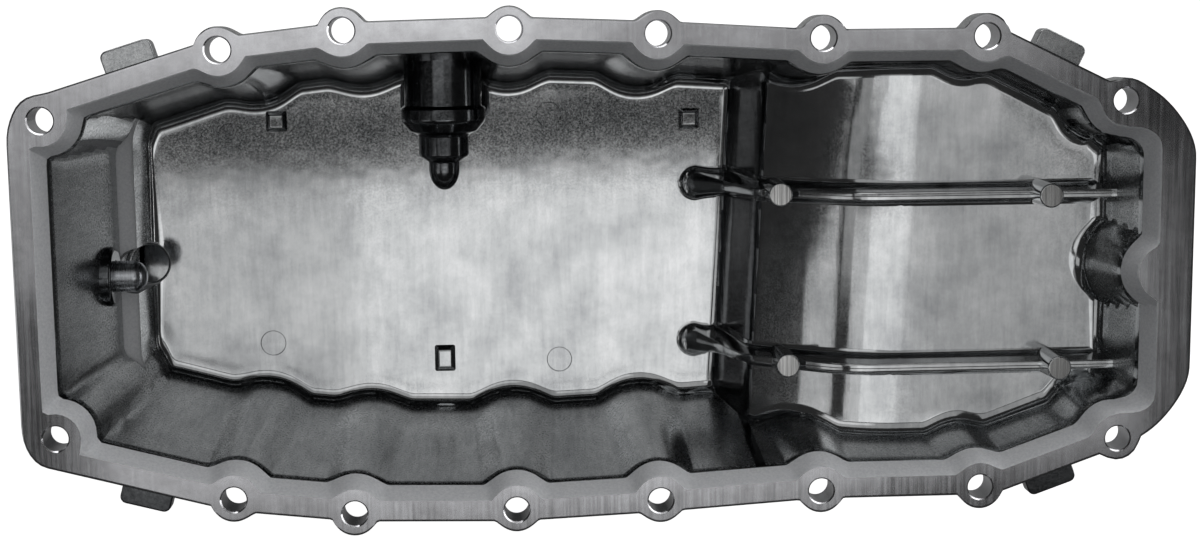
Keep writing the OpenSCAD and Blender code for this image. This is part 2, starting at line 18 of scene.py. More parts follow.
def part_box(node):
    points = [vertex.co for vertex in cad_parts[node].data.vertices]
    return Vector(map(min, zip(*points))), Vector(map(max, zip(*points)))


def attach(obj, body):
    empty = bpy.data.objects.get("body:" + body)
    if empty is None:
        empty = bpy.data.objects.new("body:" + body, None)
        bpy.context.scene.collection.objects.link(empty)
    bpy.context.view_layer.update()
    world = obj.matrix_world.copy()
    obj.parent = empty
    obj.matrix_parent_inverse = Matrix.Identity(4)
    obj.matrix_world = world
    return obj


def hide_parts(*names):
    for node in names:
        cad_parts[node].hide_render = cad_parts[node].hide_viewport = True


bl_info = {
    "name": "Engine oil pan",
    "version": (1, 0, 0),
    "blender": (4, 5, 0),
    "location": "View3D > Sidebar > Oil pan",
    "description": "Builds the visual pieces of a cast engine oil pan round its CAD frame",
    "category": "Object",
}

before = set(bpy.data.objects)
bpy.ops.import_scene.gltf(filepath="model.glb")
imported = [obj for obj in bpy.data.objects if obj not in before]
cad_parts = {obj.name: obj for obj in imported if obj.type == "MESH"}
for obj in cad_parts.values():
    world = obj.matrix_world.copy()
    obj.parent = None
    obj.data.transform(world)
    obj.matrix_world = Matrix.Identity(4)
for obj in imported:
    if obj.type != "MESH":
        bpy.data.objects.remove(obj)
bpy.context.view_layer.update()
CASTING_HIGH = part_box("pan_casting")[1]

MM = 0.001

# Bolt holes: places along the pan, and distances from its middle line on the far and near side
BOLT_X = (-192.5, -130.5, -87.4, -28.9, 23.5, 82.4, 141.2, 192.1)
BOLT_Y_FAR = (56.5, 80.3, 86.5, 86.5, 84.4, 82.2, 82.2, 58.7)
BOLT_Y_NEAR = (56.5, 80.3, 86.5, 86.5, 84.4, 82.2, 82.2, 65.1)
BOLT_D, BOSS_R = 9.0, 8.17

# Flange: how far its edge stands out beyond each hole, its ends, and the width of its face
EDGE_OUT = (0.0, 4.4, 3.0, 4.4, 4.4, 3.0, 3.0, 0.0)
END_X0, END_X1 = BOLT_X[0] - 11.9, BOLT_X[7] + 26.4
MID_X = (END_X0 + END_X1) / 2
FLANGE_T, FACE_W, FACE_W_END, HOLE_WALL = 13.0, 8.0, 13.0, 1.3
CORNER_R, END_CORNER_R = 16.0, 30.0

# Walls: the steep band under the face, each wall's draft in degrees, the ledge in the sump's end
# wall and the bulge in the shallow end's wall
BAND_H, BAND_IN, WALL_T = 10.0, 4.4, 4.5
DRAFT_FAR, DRAFT_NEAR, DRAFT_SUMP_END, DRAFT_SHALLOW_END = 5.4, 6.6, 9.8, 11.5
LEDGE_H, LEDGE_W, LEDGE_DRAFT, LEDGE_SOFT = 26.0, 5.0, 4.0, 5.6
BULGE_Y, BULGE_R, BULGE_IN, FLANK_TILT = -4.0, 10.0, 7.5, 5.0

# Floors, the step between them, and the slight dish of the shallow floor near the far wall
FLOOR_T, FLOOR_FILLET = 5.0, 5.0
SUMP_DEPTH, SHALLOW_DEPTH = 100.0, 36.0
STEP_X, STEP_SKEW, STEP_R = 58.0, 3.3, 6.0
RISER_H, RISER_LEAN, RAMP_X, KNEE_R = 38.0, 8.0, 101.0, 60.0
RAMP_SLOPE = (SUMP_DEPTH - RISER_H - SHALLOW_DEPTH) / (RAMP_X - STEP_X - RISER_LEAN)
DISH_Y, DISH_RATE = 25.0, 0.0011

# Widths over which two stretches of an outline run softly into one another
SOFT_BAND, SOFT_EDGE, SOFT_HOLE, SOFT_BULGE, SOFT_END, SOFT_FLANK = 0.9, 3, 3.5, 5, 8, 12

# Where the fans of rays start, and the length given to a ray that meets nothing
FAN_X0, FAN_X1 = -150.0, 160.0
FAR = 1000.0


def place(points):
    """Millimetres of the drawing, sealing face at zero height, to metres of the frame."""
    return (np.asarray(points, float) + (-MID_X, 0.0, SUMP_DEPTH + FLOOR_T)) * MM


def lean(degrees):
    """How far a leaning line moves sideways for each millimetre along."""
    return math.tan(math.radians(degrees))


def progress(value, start, end):
    """How far a value has come from start to end, between 0 and 1."""
    return np.clip((value - start) / (end - start), 0, 1)


def quarter(n, start=0.0):
    """Angles in radians from start degrees to a right angle."""
    return np.radians(np.linspace(start, 90, n))


SKEW = lean(STEP_SKEW)


# Outlines, read along rays that leave the pan's middle line


def smooth_min(a, b, width):
    """The smaller of two values, with a soft change from one to the other."""
    h = np.maximum(width - np.abs(a - b), 0) / width
    return np.minimum(a, b) - h * h * width / 4


def smooth_max(a, b, width):
    return -smooth_min(-a, -b, width)


def blend_width(radius, turn):
    """Width of a soft change that rounds a corner of so many degrees to about the radius."""
    return 4 * radius * (1 / math.cos(math.radians(turn / 2)) - 1)


def rail(ys, corner, slant_y):
    """The flange's edge along one side: points [x, distance from the middle line]."""
    points = [[END_X0, corner]]
    points += [[BOLT_X[i], ys[i] + EDGE_OUT[i]] for i in range(1, 7)]
    points += [[BOLT_X[6] + 5, ys[6] + EDGE_OUT[6]], [BOLT_X[7] - 4, slant_y]]
    return np.array(points)


RAIL_FAR = rail(BOLT_Y_FAR, BOLT_Y_FAR[0] + 5.2, BOLT_Y_FAR[7] + 6.1)
RAIL_NEAR = rail(BOLT_Y_NEAR, BOLT_Y_NEAR[0] + 8.5, BOLT_Y_NEAR[7] + 5.2)


class Rays:
    """Rays from the middle line: a fan round each end, and square rays between the fans."""

    def __init__(self, n_side, n_fan):
        xs, angles = [], []
        for start, stop, turn in ((FAN_X1, FAN_X0, -90), (FAN_X0, FAN_X1, 90)):
            xs += [start] * n_fan + [start + (stop - start) * i / n_side for i in range(n_side)]
            angles += [turn + 180 * i / n_fan for i in range(n_fan)] + [turn + 180] * n_side
        self.x = np.array(xs)
        self.count = len(xs)
        cos, sin = np.cos(np.radians(angles)), np.sin(np.radians(angles))
        self.fan = np.abs(np.abs(sin) - 1) > 1e-4
        self.far = sin > 0
        self.cos = np.where(self.fan, cos, 0.0)
        self.sin = np.where(self.fan, sin, np.sign(sin))

    def at(self, t):
        """Points at the lengths t along the rays."""
        return self.x + t * self.cos, t * self.sin

    def bolt_y(self, i):
        """Place across the pan of the i-th bolt hole on each ray's own side."""
        return np.where(self.far, BOLT_Y_FAR[i], -BOLT_Y_NEAR[i])


def until(distance, rate):
    """Length at which a ray has closed a distance, or FAR where it never does."""
    return np.where(rate > 0.001, distance / np.maximum(rate, 0.001), FAR)


def to_rail(rays, points, off):
    """Length of each ray to one side's edge, moved inward by off."""
    i = np.searchsorted(points[1:-1, 0], rays.x, side="right")
    p, q = points[i], points[i + 1]
    u = (q - p) / np.linalg.norm(q - p, axis=1)[:, None]
    nx, ny = -u[:, 1], u[:, 0]
    distance = nx * p[:, 0] + ny * p[:, 1] - off - nx * rays.x
    return until(distance, nx * rays.cos + ny * np.abs(rays.sin))


def to_side(rays, off):
    return np.where(rays.far, to_rail(rays, RAIL_FAR, off), to_rail(rays, RAIL_NEAR, off))


def to_end(rays, end_x, off):
    """Length of each ray to the end at end_x, moved inward by off."""
    s = np.sign(end_x - rays.x)
    return until(s * (end_x - rays.x) - off, s * rays.cos)


def to_circle(rays, cx, cy, r, side, miss):
    """Length of each ray to a circle's near side (-1) or far side (1), or miss."""
    dx, dy = cx - rays.x, cy
    m = dx * rays.cos + dy * rays.sin
    w2 = r * r - (dx * dx + dy * dy) + m * m
    return np.where((w2 > 0) & (m > 0), m + side * np.sqrt(np.maximum(w2, 0)), miss)


def draft_in(z, angle):
    """How far a wall has come inward at height z, with the band's foot a little rounded."""
    band = BAND_IN * -z / BAND_H
    wall = BAND_IN + (-z - BAND_H) * lean(angle)
    return smooth_min(band, wall, SOFT_BAND)


def far_wall_in(z):
    """The far wall stands steeper near the face and leans in more towards its foot."""
    run = (SUMP_DEPTH - BAND_H) * lean(DRAFT_FAR)
    share = progress(-z, BAND_H, SUMP_DEPTH)
    return draft_in(z, DRAFT_FAR) - run * (share - share**1.6)


def sump_end_in(z):
    """The sump's end wall stands further in below its ledge."""
    ledge_z = -SUMP_DEPTH + LEDGE_H
    above = draft_in(z, DRAFT_SUMP_END)
    below = draft_in(ledge_z, DRAFT_SUMP_END) + LEDGE_W + (ledge_z - z) * lean(LEDGE_DRAFT)
    step = progress(z, ledge_z + LEDGE_SOFT / 2, ledge_z - LEDGE_SOFT / 2)
    step = step * step * (3 - 2 * step)
    return above * (1 - step) + below * step


def to_flank(rays, r):
    """Wall from the boss of each shallow-end corner hole to the end wall."""
    tilt = math.radians(FLANK_TILT)
    s = np.where(rays.far, 1.0, -1.0)
    cx, cy = BOLT_X[7] - rays.x, rays.bolt_y(7)
    nx, ny = math.sin(tilt), -s * math.cos(tilt)
    t = until(-nx * cx - ny * cy - r, -(nx * rays.cos + ny * rays.sin))
    along = (t * rays.cos - cx) * math.cos(tilt) + (t * rays.sin - cy) * s * math.sin(tilt)
    return np.where((t < FAR) & (along > 0) & rays.fan & (rays.x > 0), t, FAR)


def wall_at(rays, z, grow=0.0):
    """Inner surface of the walls at height z along each ray, moved outward by grow."""
    z = np.broadcast_to(np.asarray(z, float), (rays.count,))
    far_side = draft_in(z, DRAFT_FAR) if grow > 0 else far_wall_in(z)
    side = np.where(rays.far, far_side, draft_in(z, DRAFT_NEAR)) - grow
    left = (draft_in(z, DRAFT_SUMP_END) if grow > 0 else sump_end_in(z)) - grow
    right = draft_in(z, DRAFT_SHALLOW_END) - grow
    r = FACE_W + HOLE_WALL + side
    flank = to_flank(rays, r)
    end0 = to_end(rays, END_X0, FACE_W + left)
    end1 = smooth_min(to_end(rays, END_X1, FACE_W_END + right), flank, SOFT_FLANK)
    plain = to_side(rays, FACE_W + side)
    ended = smooth_min(plain, np.where(rays.x < 0, end0, end1), SOFT_END)
    plain = np.where(rays.fan, ended, plain)
    bosses = np.full(rays.count, FAR)
    for i, x in enumerate(BOLT_X):
        hit = to_circle(rays, x, rays.bolt_y(i), r, -1, FAR)
        if i == 7:
            hit = np.where(flank < FAR, FAR, hit)
        bosses = np.minimum(bosses, hit)
    both = smooth_min(plain, bosses, SOFT_HOLE)
    bulge_x = END_X1 - FACE_W_END + BULGE_R - BULGE_IN
    bulge = to_circle(rays, bulge_x, BULGE_Y, BULGE_R + right, -1, FAR)
    return np.where(rays.x > 0, smooth_min(both, bulge, SOFT_BULGE), both)


def edge_at(rays):
    """Outer edge of the flange along each ray."""
    side = to_side(rays, 0.0)
    corner_y = np.where(rays.far, BOLT_Y_FAR[7] + 6, BOLT_Y_NEAR[7] + 1)
    corner = until(corner_y, np.abs(rays.sin))
    left = smooth_min(side, to_end(rays, END_X0, 0), blend_width(CORNER_R, 72))
    right = np.maximum(
        np.minimum(side, to_end(rays, BOLT_X[7], 0)),
        smooth_min(corner, to_end(rays, END_X1, 0), blend_width(END_CORNER_R, 90)),
    )
    plain = np.where(rays.fan, np.where(rays.x < 0, left, right), side)
    bosses = np.zeros(rays.count)
    for i, x in enumerate(BOLT_X):
        bosses = np.maximum(bosses, to_circle(rays, x, rays.bolt_y(i), BOSS_R, 1, 0.0))
    return smooth_max(plain, bosses, SOFT_EDGE)


def arc(centre, r, a0, a1, n):
    """Points of an arc between two angles in degrees."""
    turns = np.radians(np.linspace(a0, a1, n))
    return [(centre[0] + r * math.cos(a), centre[1] + r * math.sin(a)) for a in turns]


def floor_profile(drop):
    """Side view of the floors, lowered by drop: sump floor, riser, ramp and shallow floor."""
    ramp_a = math.degrees(math.atan(RAMP_SLOPE))
    riser_a = math.degrees(math.atan2(RISER_H, RISER_LEAN))
    cos, sin = math.cos(math.radians(riser_a)), math.sin(math.radians(riser_a))
    low, high = -SUMP_DEPTH - drop, -SHALLOW_DEPTH - drop
    foot_x = STEP_X + drop * 0.9
    back = STEP_R * lean((riser_a - ramp_a) / 2)
    foot = (foot_x - FLOOR_FILLET * lean(riser_a / 2), low + FLOOR_FILLET)
    top = (
        foot_x + RISER_LEAN - back * cos + STEP_R * sin,
        low + RISER_H - back * sin - STEP_R * cos,
    )
    knee = (foot_x - STEP_X + RAMP_X + KNEE_R * lean(ramp_a / 2), high - KNEE_R)
    points = [(-400.0, low)]
    points += arc(foot, FLOOR_FILLET, -90, riser_a - 90, 9)
    points += arc(top, STEP_R, 90 + riser_a, 90 + ramp_a, 7)
    points += arc(knee, KNEE_R, 90 + ramp_a, 90, 12)
    points += [(400.0, high)]
    return np.array(points)


PROFILE_IN = floor_profile(0.0)
PROFILE_OUT = floor_profile(FLOOR_T)


def floor_height(x, y, profile=PROFILE_IN):
    """Height of a floor whose step runs a little askew across the pan."""
    skew = math.radians(STEP_SKEW)
    u = x * math.cos(skew) - y * math.sin(skew)
    height = np.interp(u, profile[:, 0], profile[:, 1])
    if profile is PROFILE_IN:
        # The shallow floor rises a little towards the far wall
        share = progress(u, 85, 110) * progress(x, 185, 155)
        height = height + DISH_RATE * np.maximum(y - DISH_Y, 0) ** 2 * share
    return height


def wall_foot(rays, profile, grow, radius):
    """Height of the floor where each ray's wall comes down to it, closed in on step by step."""
    z = np.full(rays.count, -0.6 * SUMP_DEPTH)
    for _ in range(40):
        floor = floor_height(*rays.at(wall_at(rays, z, grow) - radius), profile)
        z = 0.5 * z + 0.5 * floor
    return z


# Mesh helpers


def deselect_all():
    if bpy.context.object and bpy.context.object.mode != "OBJECT":
        bpy.ops.object.mode_set(mode="OBJECT")
    bpy.ops.object.select_all(action="DESELECT")


def make_active(obj):
    deselect_all()
    obj.select_set(True)
    bpy.context.view_layer.objects.active = obj


@contextmanager
def edit_mode(obj, action="SELECT"):
    """Edit mode on one object, with all of it selected or nothing."""
    make_active(obj)
    bpy.ops.object.mode_set(mode="EDIT")
    bpy.ops.mesh.select_all(action=action)
    yield
    bpy.ops.object.mode_set(mode="OBJECT")


def apply_modifiers(obj):
    make_active(obj)
    for modifier in list(obj.modifiers):
        bpy.ops.object.modifier_apply(modifier=modifier.name)


def bake_place(obj):
    make_active(obj)
    bpy.ops.object.transform_apply(location=True, rotation=True, scale=True)


def clean_mesh(obj, threshold=2e-6):
    """Merges doubles and turns the faces outwards."""
    with edit_mode(obj):
        bpy.ops.mesh.remove_doubles(threshold=threshold)
        bpy.ops.mesh.dissolve_degenerate(threshold=threshold)
        bpy.ops.mesh.normals_make_consistent(inside=False)


def new_object(name, data):
    """A new object in the scene that shows the given data."""
    obj = bpy.data.objects.new(name, data)
    bpy.context.scene.collection.objects.link(obj)
    return obj


def new_mesh(name, points, edges, faces):
    mesh = bpy.data.meshes.new(name)
    mesh.from_pydata([tuple(p) for p in points], edges, faces)
    return new_object(name, mesh)


def mesh_piece(name, points, faces):
    obj = new_mesh(name, points, [], faces)
    clean_mesh(obj)
    return obj


def grid_faces(rows, n, closed=False):
    """Four-sided faces between rows of n points each, right round where the rows are closed."""
    faces = []
    for k in range(rows - 1):
        for j in range(n if closed else n - 1):
            p, q = k * n + j, k * n + (j + 1) % n
            faces.append((p, q, q + n, p + n))
    return faces


def added(primitive, name, **values):
    """Adds a primitive mesh with the given values and names it."""
    deselect_all()
    primitive(**values)
    obj = bpy.context.object
    obj.name = name
    return obj


def block(name, size, middle=(0.0, 0.0, 0.0)):
    """A box with its size in millimetres and its middle in the frame."""
    obj = added(bpy.ops.mesh.primitive_cube_add, name, size=1.0, location=tuple(middle))
    obj.scale = tuple(s * MM for s in size)
    bake_place(obj)
    return obj


def smooth(obj, angle):
    """Smooth shading up to the angle, with large faces kept flat."""
    make_active(obj)
    bpy.ops.object.shade_smooth_by_angle(angle=math.radians(angle))
    weighted = obj.modifiers.new("weighted", "WEIGHTED_NORMAL")
    weighted.keep_sharp = True
    apply_modifiers(obj)


def finish_piece(obj, angle, materials=(), replaced="pan_casting"):
    """Smooths a piece, gives it its materials and hands it to the frame."""
    smooth(obj, angle)
    for material in materials:
        obj.data.materials.append(material)
    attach(obj, "root")
    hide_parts(replaced)


def join(objects, name):
    deselect_all()
    for obj in objects:
        obj.select_set(True)
    bpy.context.view_layer.objects.active = objects[0]
    if len(objects) > 1:
        bpy.ops.object.join()
    joined = bpy.context.view_layer.objects.active
    joined.name = name
    return joined


# For each axis: its direction, one square to it, and the turn of a cylinder that lies along it
AXES = {
    "x": ((1, 0, 0), (0, 0, 1), (0.0, math.pi / 2, 0.0)),
    "y": ((0, 1, 0), (0, 0, 1), (-math.pi / 2, 0.0, 0.0)),
    "z": ((0, 0, 1), (1, 0, 0), (0.0, 0.0, 0.0)),
}


def cylinder(name, r, start, length, axis):
    """A cylinder from a start point along an axis, all in millimetres of the drawing."""
    along, _, turn = AXES[axis]
    middle = place(np.array(start) + np.array(along) * length / 2)
    obj = added(
        bpy.ops.mesh.primitive_cylinder_add, name,
        vertices=96, radius=r * MM, depth=length * MM, location=tuple(middle), rotation=turn,
    )
    bake_place(obj)
    return obj


def bevel_edges(obj, test, width, segments):
    """Bevels the edges that pass the test."""
    with edit_mode(obj, "DESELECT"):
        bpy.ops.mesh.select_mode(type="EDGE")
        for edge in bmesh.from_edit_mesh(obj.data).edges:
            if test(edge):
                edge.select_set(True)
        bmesh.update_edit_mesh(obj.data)
        bpy.ops.mesh.bevel(offset=width * MM, segments=segments, affect="EDGES", profile=0.5)


def is_rim(edge):
    """An edge between faces that meet at more than 60 degrees."""
    return len(edge.link_faces) == 2 and edge.calc_face_angle(0) > math.radians(60)


def rise(edge):
    """Difference in height between an edge's ends, in metres."""
    return abs(edge.verts[0].co.z - edge.verts[1].co.z)


def cut(obj, cutters):
    """Takes the cutters away from a piece."""
    for cutter in cutters:
        modifier = obj.modifiers.new("cut", "BOOLEAN")
        modifier.operation = "DIFFERENCE"
        modifier.solver = "EXACT"
        modifier.object = cutter
    apply_modifiers(obj)
    for cutter in cutters:
        bpy.data.objects.remove(cutter)


def turned(name, profile, start, axis, steps=96):
    """A turned solid: a profile of [distance along the axis, radius] is spun round the axis."""
    along, out = (np.array(direction) for direction in AXES[axis][:2])
    points = place([np.array(start) + along * a + out * r for a, r in profile])
    obj = new_mesh(name, points, [(i, i + 1) for i in range(len(points) - 1)], [])
    with edit_mode(obj):
        bpy.ops.mesh.spin(
            steps=steps, angle=2 * math.pi, center=tuple(place(start)),
            axis=tuple(float(v) for v in along), use_auto_merge=False,
        )
    clean_mesh(obj)
    return obj


def round_corner(p, q, s, r, n=6):
    """Points of an arc of radius r that rounds the corner q between p and s."""
    p, q, s = (np.array(v, float) for v in (p, q, s))
    a = (p - q) / np.linalg.norm(p - q)
    b = (s - q) / np.linalg.norm(s - q)
    half = math.acos(max(-1.0, min(1.0, float(a @ b)))) / 2
    if half > math.radians(88):
        return [tuple(q)]
    reach = min(r / math.tan(half), 0.49 * np.linalg.norm(p - q), 0.49 * np.linalg.norm(s - q))
    radius = reach * math.tan(half)
    centre = q + (a + b) / np.linalg.norm(a + b) * radius / math.sin(half)
    first, last = q + a * reach - centre, q + b * reach - centre
    between = [first * (1 - k) + last * k for k in np.linspace(0, 1, n)]
    return [tuple(centre + v / np.linalg.norm(v) * radius) for v in between]


def rounded(points, radii):
    """A profile whose inner corners are rounded by the given radii."""
    result = [tuple(points[0])]
    for i in range(1, len(points) - 1):
        if radii[i] > 0:
            result += round_corner(points[i - 1], points[i], points[i + 1], radii[i])
        else:
            result.append(tuple(points[i]))
    return result + [tuple(points[-1])]


# Materials


def srgb(code):
    """An sRGB hex colour as linear values."""
    parts = [int(code[i : i + 2], 16) / 255 for i in (0, 2, 4)]
    linear = [c / 12.92 if c <= 0.04045 else ((c + 0.055) / 1.055) ** 2.4 for c in parts]
    return (*linear, 1.0)


def add(tree, kind, settings=None, inputs=None, links=None):
    """Adds a node, sets its properties and sockets, and links sockets from (node, output)."""
    node = tree.nodes.new(kind)
    for key, value in (settings or {}).items():
        setattr(node, key, value)
    for key, value in (inputs or {}).items():
        node.inputs[key].default_value = value
    for key, (source, output) in (links or {}).items():
        tree.links.new(source.outputs[output], node.inputs[key])
    return node


def once(make):
    """A material function that makes its material once and finds it again after that."""

    def found_or_made():
        return bpy.data.materials.get(make.__name__) or make(make.__name__)

    return found_or_made


def new_material(name, **inputs):
    """A new material, its tree and its shader, with the shader's inputs set by name."""
    material = bpy.data.materials.new(name)
    material.use_nodes = True
    shader = material.node_tree.nodes["Principled BSDF"]
    for key, value in inputs.items():
        shader.inputs[key.replace("_", " ")].default_value = value
    return material, material.node_tree, shader


class Metal:
    """A metal in the making. A pattern is a (node, output) pair on the object's coordinates."""

    def __init__(self, name, metallic=1.0):
        self.made, self.tree, self.shader = new_material(name, Metallic=metallic)
        self.coords = add(self.tree, "ShaderNodeTexCoord")

    def noise(self, sizes, detail, roughness, turn=0):
        """Noise with features as wide as sizes, in millimetres, the same or one for each axis."""
        scale = tuple(1 / (size * MM) for size in np.broadcast_to(sizes, 3))
        mapping = add(
            self.tree, "ShaderNodeMapping", None,
            {"Scale": scale, "Rotation": (0, 0, math.radians(turn))}, {"Vector": (self.coords, "Object")},
        )
        values = {"Scale": 1.0, "Detail": detail, "Roughness": roughness}
        return add(self.tree, "ShaderNodeTexNoise", None, values, {"Vector": (mapping, "Vector")}), "Fac"

    def mix(self, first, second, share):
        links = {"A": first, "B": second}
        return add(self.tree, "ShaderNodeMix", {"data_type": "FLOAT"}, {"Factor": share}, links), "Result"

    def tone(self, pattern, stops):
        """Colour along a pattern, from stops of (position, sRGB code)."""
        ramp = add(self.tree, "ShaderNodeValToRGB", None, None, {"Fac": pattern})
        elements = ramp.color_ramp.elements
        while len(elements) < len(stops):
            elements.new(0.5)
        for element, (position, code) in zip(elements, stops):
            element.position = position
            element.color = srgb(code)
        self.tree.links.new(ramp.outputs["Color"], self.shader.inputs["Base Color"])

    def rough(self, pattern, low, high, start=0.3, end=0.7):
        """Roughness from low to high over the pattern's values from start to end."""
        values = {"From Min": start, "From Max": end, "To Min": low, "To Max": high}
        spread = add(self.tree, "ShaderNodeMapRange", None, values, {"Value": pattern})
        self.tree.links.new(spread.outputs["Result"], self.shader.inputs["Roughness"])

    def bump(self, pattern, height, strength=1.0, over=None):
        """Relief of height millimetres along a pattern, laid over another relief or none."""
        links = {"Height": pattern}
        if over:
            links["Normal"] = (over, "Normal")
        values = {"Strength": strength, "Distance": height * MM}
        relief = add(self.tree, "ShaderNodeBump", None, values, links)
        self.tree.links.new(relief.outputs["Normal"], self.shader.inputs["Normal"])
        return relief


def cast_skin(name, tones, streak, streaked, rough, streak_height):
    """Die-cast aluminium: grey skin with clouds, streaks and slow waves."""
    metal = Metal(name)
    # Clouds where the metal cooled at different rates, some 25 mm wide
    clouds = metal.noise(25, 6.0, 0.65)
    # Streaks about 2 mm wide and 18 to 30 mm long
    streaks = metal.noise(streak, 4.0, 0.65)
    metal.tone(metal.mix(clouds, streaks, streaked), tuple(zip((0.34, 0.50, 0.66), tones)))
    # The skin's grain is too fine to see, but its smooth and dull specks blur what is mirrored
    metal.rough(metal.noise(0.8, 2.0, 0.6), *rough, 0.36, 0.66)
    # The streaks stand out a little, and the die leaves slow waves 16 mm wide
    fine = metal.bump(streaks, streak_height)
    metal.bump(metal.noise(16, 2.0, 0.5), 0.06, over=fine)
    return metal.made


CLEAN = ("A6A8AA", "C1C3C4", "D8D9DA")
# Darker tones of painted shade, laid on the cast skin where faces should look dark
SHADE_TONES = ("484A4C", "626466", "7C7E80")
ACROSS, DOWN = (2.2, 18, 18), (1.6, 1.6, 30)


@once
def die_cast_aluminium(name):
    """Floors and ribs: smooth skin, with the streaks of the die wash running across the pan."""
    return cast_skin(name, CLEAN, ACROSS, 0.25, (0.08, 0.14), 0.004)


@once
def drag_marked_aluminium(name):
    """Walls: duller skin, with fine drag lines from the way the casting left the die."""
    return cast_skin(name, CLEAN, DOWN, 0.5, (0.16, 0.34), 0.012)


@once
def shaded_cast_aluminium(name):
    """Far wall, riser, sensor boss, collar and near ears: cast skin darkened with painted shade."""
    return cast_skin(name, SHADE_TONES, DOWN, 0.5, (0.10, 0.20), 0.006)


@once
def milled_aluminium(name):
    """Sealing face and bolt holes: satin metal with cutter lines and dull grey stains."""
    metal = Metal(name)
    # Cutter lines across the pan, 1.2 mm wide, drawn coarser than real so that they show
    lines = metal.noise((1.2, 40, 40), 3.0, 0.6)
    # Stains of oil and handling, 20 mm wide with ragged edges
    stains = metal.noise(20, 10.0, 0.7)
    metal.tone(metal.mix(stains, lines, 0.25), ((0.36, "B9B9BB"), (0.50, "D0D0D3"), (0.64, "E4E5E8")))
    metal.rough(lines, 0.11, 0.19)
    metal.bump(lines, 0.006, strength=0.5)
    return metal.made


@once
def pale_lit_aluminium(name):
    """Dull skin of the band, the groove and the ledge's slopes, with painted light: a pale colour that
    brightens them.
    """
    # Painted light: the skin is mostly matt and pale so that these faces show brighter, and it counts as
    # metal only in part
    metal = Metal(name, 0.15)
    # Speckle 1 mm wide
    speckle = metal.noise(1.0, 4.0, 0.7)
    metal.tone(speckle, ((0.3, "D2D4D8"), (0.7, "EDEEF0")))
    metal.rough(speckle, 0.50, 0.66)
    return metal.made


@once
def milled_pin_aluminium(name):
    """Milled tops of the stop pins, with the cutter's slanting lines half a millimetre wide."""
    metal = Metal(name)
    metal.tone(metal.noise((0.5, 25, 25), 3.0, 0.6, turn=40), ((0.35, "8F8F8E"), (0.65, "C4C4C3")))
    metal.shader.inputs["Roughness"].default_value = 0.26
    return metal.made


@once
def zinc_plated_steel(name):
    """Zinc-plated steel of the plug: smooth and a little blue, with faint turning lines."""
    metal = Metal(name)
    # Turning lines round the plug, 0.6 mm wide along it
    lines = metal.noise((0.6, 30, 30), 2.0, 0.5)
    metal.tone(lines, ((0.3, "A5A8AC"), (0.7, "C3C6CA")))
    metal.rough(lines, 0.22, 0.32)
    return metal.made


@once
def soft_copper(name):
    """Soft copper of the sealing washer, dulled and mottled by handling."""
    metal = Metal(name)
    # Tarnish in spots 2.5 mm wide
    spots = metal.noise(2.5, 4.0, 0.6)
    metal.tone(spots, ((0.3, "A4633F"), (0.7, "CF8F66")))
    metal.rough(spots, 0.30, 0.45)
    return metal.made


# The casting's shell


# Heights above the ledge, and above the band's foot, where the walls have rows of their own, and
# how far under the band's foot the evenly spaced rows end
LEDGE_ROWS = (-3.4, -2.7, -2.0, -1.3, -0.5, 0.5, 1.3, 2.0, 2.7, 3.4)
BAND_CLEAR = 1.6
BAND_ROWS = (-0.8, -0.3, 0.2, 0.8, 1.8, BAND_H / 2)

# Rows of the flange's rim: distance in from its edge, and height from its top or from its underside
RIM_TOP = ((1.0, 0.0), (0.5, 0.0), (0.15, -0.15), (0.0, -0.5))
RIM_FOOT = ((0.0, 0.8), (0.25, 0.25), (0.8, 0.0))
RIM_IN, UNDER_R = 0.9, 1.5


def level_rows(low, top, ledge):
    """Heights of the wall's rows on each ray: dense round the sump's ledge where the ray meets it."""
    top = np.full_like(low, top)
    plain = np.array([low + (top - low) * k for k in np.linspace(0, 1, 19)[1:]])
    near = [np.full_like(low, ledge + d) for d in LEDGE_ROWS]
    below = [low + (near[0] - low) * k for k in np.linspace(0, 1, 5)[1:-1]]
    above = [near[-1] + (top - near[-1]) * k for k in np.linspace(0, 1, 6)[1:]]
    return np.where(low < ledge - 5, np.array(below + near + above), plain)


def floor_rows(rays, end, shares, profile):
    """Rows of a floor, at shares of the way to its end."""
    return [(end * k, floor_height(*rays.at(end * k), profile)) for k in shares]


def fillet_rows(rays, foot, radius, grow, turns):
    """Rows of the fillet between a floor and the wall that comes down to its foot."""
    rows = []
    for a in turns:
        z = foot + radius * (1 - math.sin(a))
        rows.append((wall_at(rays, z, grow) - radius * (1 - math.cos(a)), z))
    return rows


